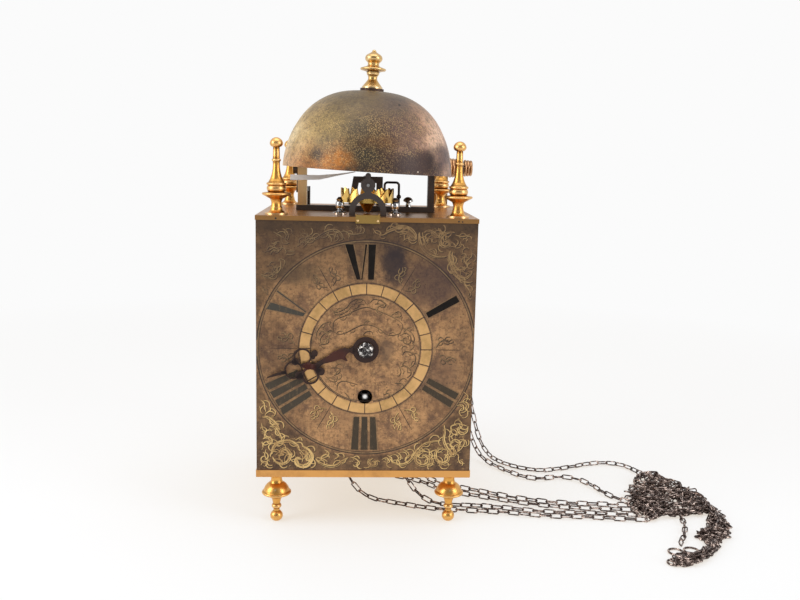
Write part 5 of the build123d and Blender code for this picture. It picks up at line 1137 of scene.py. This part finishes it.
def add_pin(verts, faces, x, y, z, radius, proud, around=12):
    """A round head with a low dome, on a face that looks forwards."""
    base, profile = len(verts), ((1.0, 0.0), (1.0, 0.35), (0.82, 0.72), (0.45, 0.95), (0.0, 1.0))
    for share, rise in profile[:-1]:
        for k in range(around):
            a = 2 * math.pi * k / around
            verts.append((x + radius * share * math.cos(a), y - proud * rise,
                          z + radius * share * math.sin(a)))
    verts.append((x, y - proud, z))
    for ring in range(3):
        for k in range(around):
            n = (k + 1) % around
            a, b = base + ring * around, base + (ring + 1) * around
            faces.append((a + k, a + n, b + n, b + k))
    faces += [(base + 3 * around + k, base + 3 * around + (k + 1) % around, base + 4 * around)
              for k in range(around)]


verts, faces = [], []
for x in (-7.6, 7.6):
    add_pin(verts, faces, x, CATCH_FRONT, 247.3, 0.85, 0.45)
pins = piece("catch_pins", verts, faces)
pins.data.materials.append(gold)
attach(pins, "case")

# ---- Doors and back plate
# Thin rolled brass sheets. Each door has its front edge curled round two hinge pins and a turned
# knob near its back edge. None of them was polished, so they kept a brown skin with lighter rubs.
tree, shader, sheet_brass = finish_tree("sheet_brass")
blotch = mottled(tree, (0.30, 0.155, 0.060), (0.090, 0.050, 0.030), 0.52, 13.0, 0.12)
colour = layered(
    tree, blotch.outputs["Colour"],
    (80.0, 0.44, 0.08, (0.060, 0.036, 0.026), 0.65),
    (380.0, 0.45, 0.08, (0.060, 0.035, 0.024), 0.55),
    (240.0, 0.38, 0.05, (0.50, 0.31, 0.14), 0.32),
)
brushed = add(tree, "ShaderNodeGroup", node_tree=SURFACE, Size=700.0, Along_X=1.0, Along_Z=0.05)
scratch = spread(tree, brushed.outputs["Height"], 0.56, 0.70, most=0.40)
colour = tint(tree, scratch, colour, (0.46, 0.29, 0.14))
edges = add(tree, "ShaderNodeGroup", node_tree=EDGES)
colour = tint(tree, calc(tree, "MULTIPLY", edges.outputs["Rubbed"], 0.5), colour, (0.62, 0.40, 0.18))
tree.links.new(colour, shader.inputs["Base Color"])
dull = spread(tree, blotch.outputs["Mask"], 0.0, 1.0, 0.40, 0.60)
tree.links.new(dull, shader.inputs["Roughness"])
shader.inputs["Metallic"].default_value = 0.75
roughen(tree, shader, size=160.0, strength=0.7, depth=0.0005)
dress(sheet_brass, "left_door", "right_door", "back_plate")
dress(gold, "left_door_knob", "right_door_knob")

# ---- Roof plate and finials
# A brass plate filed bright on its edges, the pillars' ends let into it. Each corner carries a
# turned finial screwed on its pillar. Small iron pins show in its front edge.
dress(plate_brass, "top_plate")
dress(gold, *at_corners("finial"))
pin_iron = metal("pin_iron", (0.050, 0.038, 0.032), (0.025, 0.02, 0.018), rough=(0.4, 0.6), metallic=0.7,
                 grain=700.0, bump=0.3)
ROOF_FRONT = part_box("top_plate")[0][1] / MM
verts, faces = [], []
for x, z, radius in ((-69.8, 247.9, 0.75), (69.8, 247.9, 0.7), (72.6, 247.7, 0.6)):
    add_pin(verts, faces, x, ROOF_FRONT, z, radius, 0.3)
roof_pins = piece("roof_edge_pins", verts, faces)
roof_pins.data.materials.append(pin_iron)
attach(roof_pins, "case")

# ---- Verge escapement
# The brass crown wheel drives two steel pallets on the verge, which swings between an arched iron
# cock in front and a straight one behind, and carries the short pendulum.
crown_brass = metal("crown_brass", (0.86, 0.53, 0.11), (0.60, 0.32, 0.06), share=0.35, size=90.0, soft=0.2,
                    rubbed=(0.95, 0.68, 0.26), rub=0.35, hollow=(0.09, 0.05, 0.02), rough=(0.24, 0.38),
                    bump=0.12)
bright_steel = metal("bright_steel", (0.52, 0.52, 0.53), (0.20, 0.185, 0.175), share=0.42, size=150.0,
                     soft=0.15, rubbed=(0.85, 0.84, 0.82), rub=0.6, hollow=(0.05, 0.04, 0.04),
                     rough=(0.12, 0.3), grain=500.0, bump=0.1)
dress(crown_brass, "crown_wheel")
dress(bright_steel, "verge", "steel_columns", "stand_screw")
dress(forged_iron, "verge_front_cock", "verge_rear_cock", "pendulum")

# ---- Hammer
# An iron hammer on its arbor strikes the bell from inside, pushed by a long thin steel spring. A
# bent wire staple on the roof keeps the detent's arm in line.
dress(forged_iron, "hammer", "wire_staple")
# The spring is near-white with no metal in its finish: a painted reflection of the white room in its polished
# steel.
spring_steel = metal("spring_steel", (0.97, 0.97, 0.96), (0.88, 0.87, 0.85), share=0.30, size=120.0, soft=0.2,
                     rubbed=(0.9, 0.89, 0.87), rub=0.5, rough=(0.30, 0.42), metallic=0.0, grain=80.0,
                     stretch=0.1, bump=0.12)
dress(spring_steel, "hammer_spring")

# ---- Bell
# A deep cast bell of bell metal on a forged iron stand, held by an iron washer and a turned brass
# nut. Its skin is olive and gold on the left, purple-brown on the right, and coppery at the rim. Its
# pale left and right edges are painted reflections.
tree, shader, bell_skin = finish_tree("bell_skin")
place = add(tree, "ShaderNodeTexCoord")
cloud = add(tree, "ShaderNodeTexNoise", {"Vector": place.outputs["Object"]}, Scale=26.0, Detail=7.0,
            Roughness=0.66)
wander = calc(tree, "MULTIPLY", calc(tree, "SUBTRACT", cloud.outputs["Fac"], 0.5), 0.085)
ways = add(tree, "ShaderNodeSeparateXYZ", {0: place.outputs["Object"]})
breadth = calc(tree, "ADD", ways.outputs["X"], wander)
height = calc(tree, "ADD", ways.outputs["Z"], calc(tree, "MULTIPLY", wander, 0.45))


def tones(tree, value, low, high, stops):
    """A run of colours along a value between low and high."""
    made = add(tree, "ShaderNodeValToRGB", {0: spread(tree, value, low, high)})
    band = made.color_ramp
    while len(band.elements) < len(stops):
        band.elements.new(0.5)
    for element, (at, shade) in zip(band.elements, stops):
        element.position, element.color = at, (*shade, 1)
    return made.outputs["Color"]


# Across the bell the tone is pale at the left edge, dark in the middle and pale again at the right edge, on
# body and rim alike. The pale ends are painted reflections; between them lie the olive, gold and purple-brown
# of the skin.
body_tone = tones(tree, breadth, -0.070, 0.070, (
    (0.0, (0.93, 0.76, 0.46)), (0.14, (0.52, 0.37, 0.175)), (0.32, (0.245, 0.175, 0.080)),
    (0.50, (0.120, 0.074, 0.034)), (0.66, (0.135, 0.074, 0.048)), (0.80, (0.60, 0.36, 0.25)),
    (1.0, (0.95, 0.70, 0.54))))
rim_tone = tones(tree, breadth, -0.070, 0.070, (
    (0.0, (0.80, 0.55, 0.33)), (0.16, (0.50, 0.25, 0.095)), (0.30, (0.36, 0.145, 0.038)),
    (0.44, (0.070, 0.052, 0.035)), (0.58, (0.085, 0.044, 0.028)), (0.72, (0.062, 0.032, 0.028)),
    (0.88, (0.17, 0.090, 0.075)), (1.0, (0.70, 0.45, 0.34))))
crown_share = spread(tree, height, 0.322, 0.346, most=0.65)
rim_share = spread(tree, height, 0.308, 0.292)
colour = tint(tree, rim_share, body_tone, rim_tone)
colour = tint(tree, crown_share, colour, (0.255, 0.190, 0.098))
colour = patched(
    tree, colour, 0.020,
    ((-0.026, -0.068, 0.291), (0.52, 0.5, 1.3), 0.014, (0.52, 0.215, 0.040), 0.88),
    ((-0.038, -0.060, 0.295), (1.0, 0.5, 0.9), 0.010, (0.070, 0.056, 0.042), 0.88),
    ((-0.050, -0.045, 0.290), (1.0, 0.5, 1.6), 0.012, (0.50, 0.25, 0.10), 0.65),
    ((0.000, -0.075, 0.295), (0.75, 0.5, 1.2), 0.012, (0.070, 0.062, 0.042), 0.80),
    ((0.012, -0.072, 0.307), (0.55, 0.5, 1.5), 0.012, (0.20, 0.098, 0.036), 0.75),
    ((-0.008, -0.066, 0.316), (0.9, 0.5, 1.0), 0.013, (0.115, 0.092, 0.060), 0.65),
    ((0.030, -0.068, 0.316), (0.8, 0.5, 0.9), 0.017, (0.150, 0.088, 0.072), 0.75),
    ((0.040, -0.060, 0.294), (0.55, 0.5, 1.1), 0.016, (0.060, 0.030, 0.030), 0.80),
    ((0.022, -0.050, 0.337), (0.7, 0.6, 1.0), 0.014, (0.130, 0.090, 0.080), 0.55),
    ((-0.034, -0.052, 0.320), (0.8, 0.5, 1.0), 0.017, (0.36, 0.265, 0.105), 0.60),
    ((0.052, 0.040, 0.305), (0.7, 0.6, 1.0), 0.022, (0.090, 0.075, 0.050), 0.65),
    ((-0.030, 0.052, 0.310), (0.7, 0.6, 1.0), 0.024, (0.150, 0.082, 0.056), 0.65),
)
colour = layered(
    tree, colour,
    (60.0, 0.42, 0.08, (0.105, 0.086, 0.060), 0.45),
    (330.0, 0.46, 0.06, (0.085, 0.054, 0.040), 0.50),
)
patches = add(tree, "ShaderNodeGroup", node_tree=MOTTLE, Share=0.52, Size=30.0, Softness=0.12)
below_crown = spread(tree, height, 0.338, 0.320, least=0.12)
for size, wide, over, most in (
    (980.0, 0.46, (0.80, 0.57, 0.26), 0.95), (640.0, 0.36, (0.70, 0.46, 0.20), 0.85),
):
    specks = add(tree, "ShaderNodeGroup", node_tree=SPECKS, Size=size, Spread=wide)
    shown = calc(tree, "MULTIPLY", specks.outputs["Mask"], patches.outputs["Mask"])
    shown = calc(tree, "MULTIPLY", shown, most)
    colour = tint(tree, calc(tree, "MULTIPLY", shown, below_crown), colour, over)
colour = patched(
    tree, colour, 0.012,
    ((0.036, -0.066, 0.291), (0.42, 0.4, 1.25), 0.014, (0.066, 0.034, 0.031), 0.80),
    ((0.058, -0.040, 0.297), (0.8, 0.5, 0.9), 0.012, (0.085, 0.045, 0.052), 0.70),
)
dark_specks = add(tree, "ShaderNodeGroup", node_tree=SPECKS, Size=560.0, Spread=0.33)
colour = tint(tree, calc(tree, "MULTIPLY", dark_specks.outputs["Mask"], 0.75), colour, (0.055, 0.036, 0.028))
for middle, reach, over in (((0.0240, -0.052, 0.3360), 0.0016, (0.025, 0.015, 0.014)),
                            ((0.0050, -0.056, 0.3305), 0.0009, (0.62, 0.54, 0.40)),
                            ((0.0385, -0.068, 0.2845), 0.0009, (0.70, 0.60, 0.50))):
    colour = stained_or_lit(tree, colour, over, middle, (1, 0.15, 1), reach, 0.95, 0.0008)
deeper = add(tree, "ShaderNodeGamma", {"Color": colour}, Gamma=1.16)
tree.links.new(deeper.outputs["Color"], shader.inputs["Base Color"])
shader.inputs["Metallic"].default_value = 0.5
shader.inputs["Coat Weight"].default_value = 0.3
shader.inputs["Coat Roughness"].default_value = 0.4
dull = spread(tree, cloud.outputs["Fac"], 0.3, 0.7, 0.44, 0.62)
tree.links.new(dull, shader.inputs["Roughness"])
roughen(tree, shader, size=620.0, strength=0.8, depth=0.0005)
dress(bell_skin, "bell")
dress(forged_iron, "bell_stand")
dress(gold, "bell_stand_left_post")
nut_brass = metal("nut_brass", (0.74, 0.47, 0.18), (0.52, 0.30, 0.10), share=0.40, size=60.0, soft=0.2,
                  rubbed=(0.95, 0.75, 0.46), rub=0.5, hollow=(0.12, 0.055, 0.020), hollow_share=0.8,
                  rough=(0.26, 0.40), grain=300.0, bump=0.14)
washer_iron = metal("washer_iron", (0.090, 0.050, 0.036), (0.045, 0.028, 0.023), share=0.45, size=200.0,
                    soft=0.15, rough=(0.45, 0.6), metallic=0.6, grain=500.0, bump=0.4)
dress(washer_iron, "bell_washer")
dress(nut_brass, "bell_nut")

# ---- Alarm drum
# A small ribbed drum on a brass bracket behind the right-hand rear finial, turned from copper-rich
# brass. The alarm's chain hangs over the groove in its middle.
copper_brass = metal("copper_brass", (0.56, 0.29, 0.135), (0.27, 0.125, 0.06), share=0.45, size=110.0,
                     soft=0.2, rubbed=(0.85, 0.55, 0.30), rub=0.6, hollow=(0.07, 0.03, 0.02),
                     rough=(0.25, 0.42), bump=0.15)
dress(copper_brass, "alarm_drum")
dress(old_brass, "alarm_bracket")

# ---- Wall fittings
# A flat iron hoop behind the roof hangs the clock on a hook, and two iron spurs low on its back
# hold it off the wall.
dress(forged_iron, "wall_hoop", "wall_spurs")

# ---- Floor and light
# A wide flat sheet of pale paper, lit by two large soft boxes at the sides and one above. Near the
# clock it takes a soft shadow with a painted warm glow in it, and a metre off it has faded into the
# even white of the room.
WHITE = 0.965
floor = piece("floor", [(-3000, -2000, 0), (3000, -2000, 0), (3000, 3500, 0), (-3000, 3500, 0)],
              [(0, 1, 2, 3)])
tree, shader, paper = finish_tree("paper")
fibres = mottled(tree, (0.84, 0.84, 0.83), (0.86, 0.86, 0.855), 0.5, 40.0, 0.3)
shader.inputs["Roughness"].default_value = 0.9
shader.inputs["Specular IOR Level"].default_value = 0.1
rays = add(tree, "ShaderNodeLightPath")
seen = calc(tree, "MAXIMUM", rays.outputs["Is Camera Ray"], rays.outputs["Is Glossy Ray"])
seen = calc(tree, "MAXIMUM", seen, rays.outputs["Is Transmission Ray"])
# Seen directly, the paper is blue-grey under a warm glow: lit, it comes out white, and in its shadow the warm
# glow shows as painted bounce light.
shown = tint(tree, seen, fibres.outputs["Colour"], (0.27, 0.325, 0.40))
tree.links.new(shown, shader.inputs["Base Color"])
glow = add(tree, "ShaderNodeEmission", {"Strength": seen}, Color=(0.675, 0.615, 0.535, 1))
near = add(tree, "ShaderNodeAddShader", {0: shader.outputs[0], 1: glow.outputs[0]})
way = add(tree, "ShaderNodeTexCoord")
away = add(tree, "ShaderNodeVectorMath", {0: way.outputs["Object"]}, operation="LENGTH")
fade = calc(tree, "MULTIPLY", seen, spread(tree, away.outputs["Value"], 0.25, 1.1))
white = add(tree, "ShaderNodeEmission", Strength=WHITE, Color=(1, 1, 1, 1))
total = add(tree, "ShaderNodeMixShader", {0: fade, 1: near.outputs[0], 2: white.outputs[0]})
tree.links.new(total.outputs[0], tree.nodes["Material Output"].inputs["Surface"])
floor.data.materials.append(paper)

world = bpy.data.worlds.new("studio")
bpy.context.scene.world = world
world.use_nodes = True
tree = world.node_tree
sky = tree.nodes["Background"]
rays = add(tree, "ShaderNodeLightPath")
seen = calc(tree, "MAXIMUM", rays.outputs["Is Camera Ray"], rays.outputs["Is Transmission Ray"])
way = add(tree, "ShaderNodeTexCoord")
parts_of = add(tree, "ShaderNodeSeparateXYZ", {0: way.outputs["Generated"]})
room = spread(tree, parts_of.outputs["Y"], -0.75, 0.05, 0.26, 0.80)
light_of = add(tree, "ShaderNodeMix", {2: room, 0: seen}, data_type="FLOAT")
light_of.inputs[3].default_value = WHITE
tree.links.new(light_of.outputs[0], sky.inputs["Strength"])
sky.inputs["Color"].default_value = (1, 1, 1, 1)


def soft_box(name, place, aim, size, power, colour=(1, 1, 1)):
    """A flat lamp of that size, in metres, that faces a place."""
    data = bpy.data.lights.new(name, "AREA")
    data.shape, data.size, data.size_y, data.energy, data.color = "RECTANGLE", size[0], size[1], power, colour
    box = bpy.data.objects.new(name, data)
    bpy.context.scene.collection.objects.link(box)
    box.location = place
    box.rotation_euler = (Vector(aim) - Vector(place)).to_track_quat("-Z", "Y").to_euler()


soft_box("left_box", (-1.15, -0.55, 0.65), (0, 0, 0.2), (0.7, 1.0), 8.8, (1, 0.98, 0.95))
soft_box("right_box", (1.1, -0.75, 0.6), (0, 0, 0.2), (0.6, 0.9), 6.2, (1, 0.98, 0.96))
soft_box("top_box", (0.0, -0.25, 1.35), (0, 0.0, 0.1), (1.2, 0.9), 5.6)
bpy.context.scene.view_settings.view_transform = "Standard"
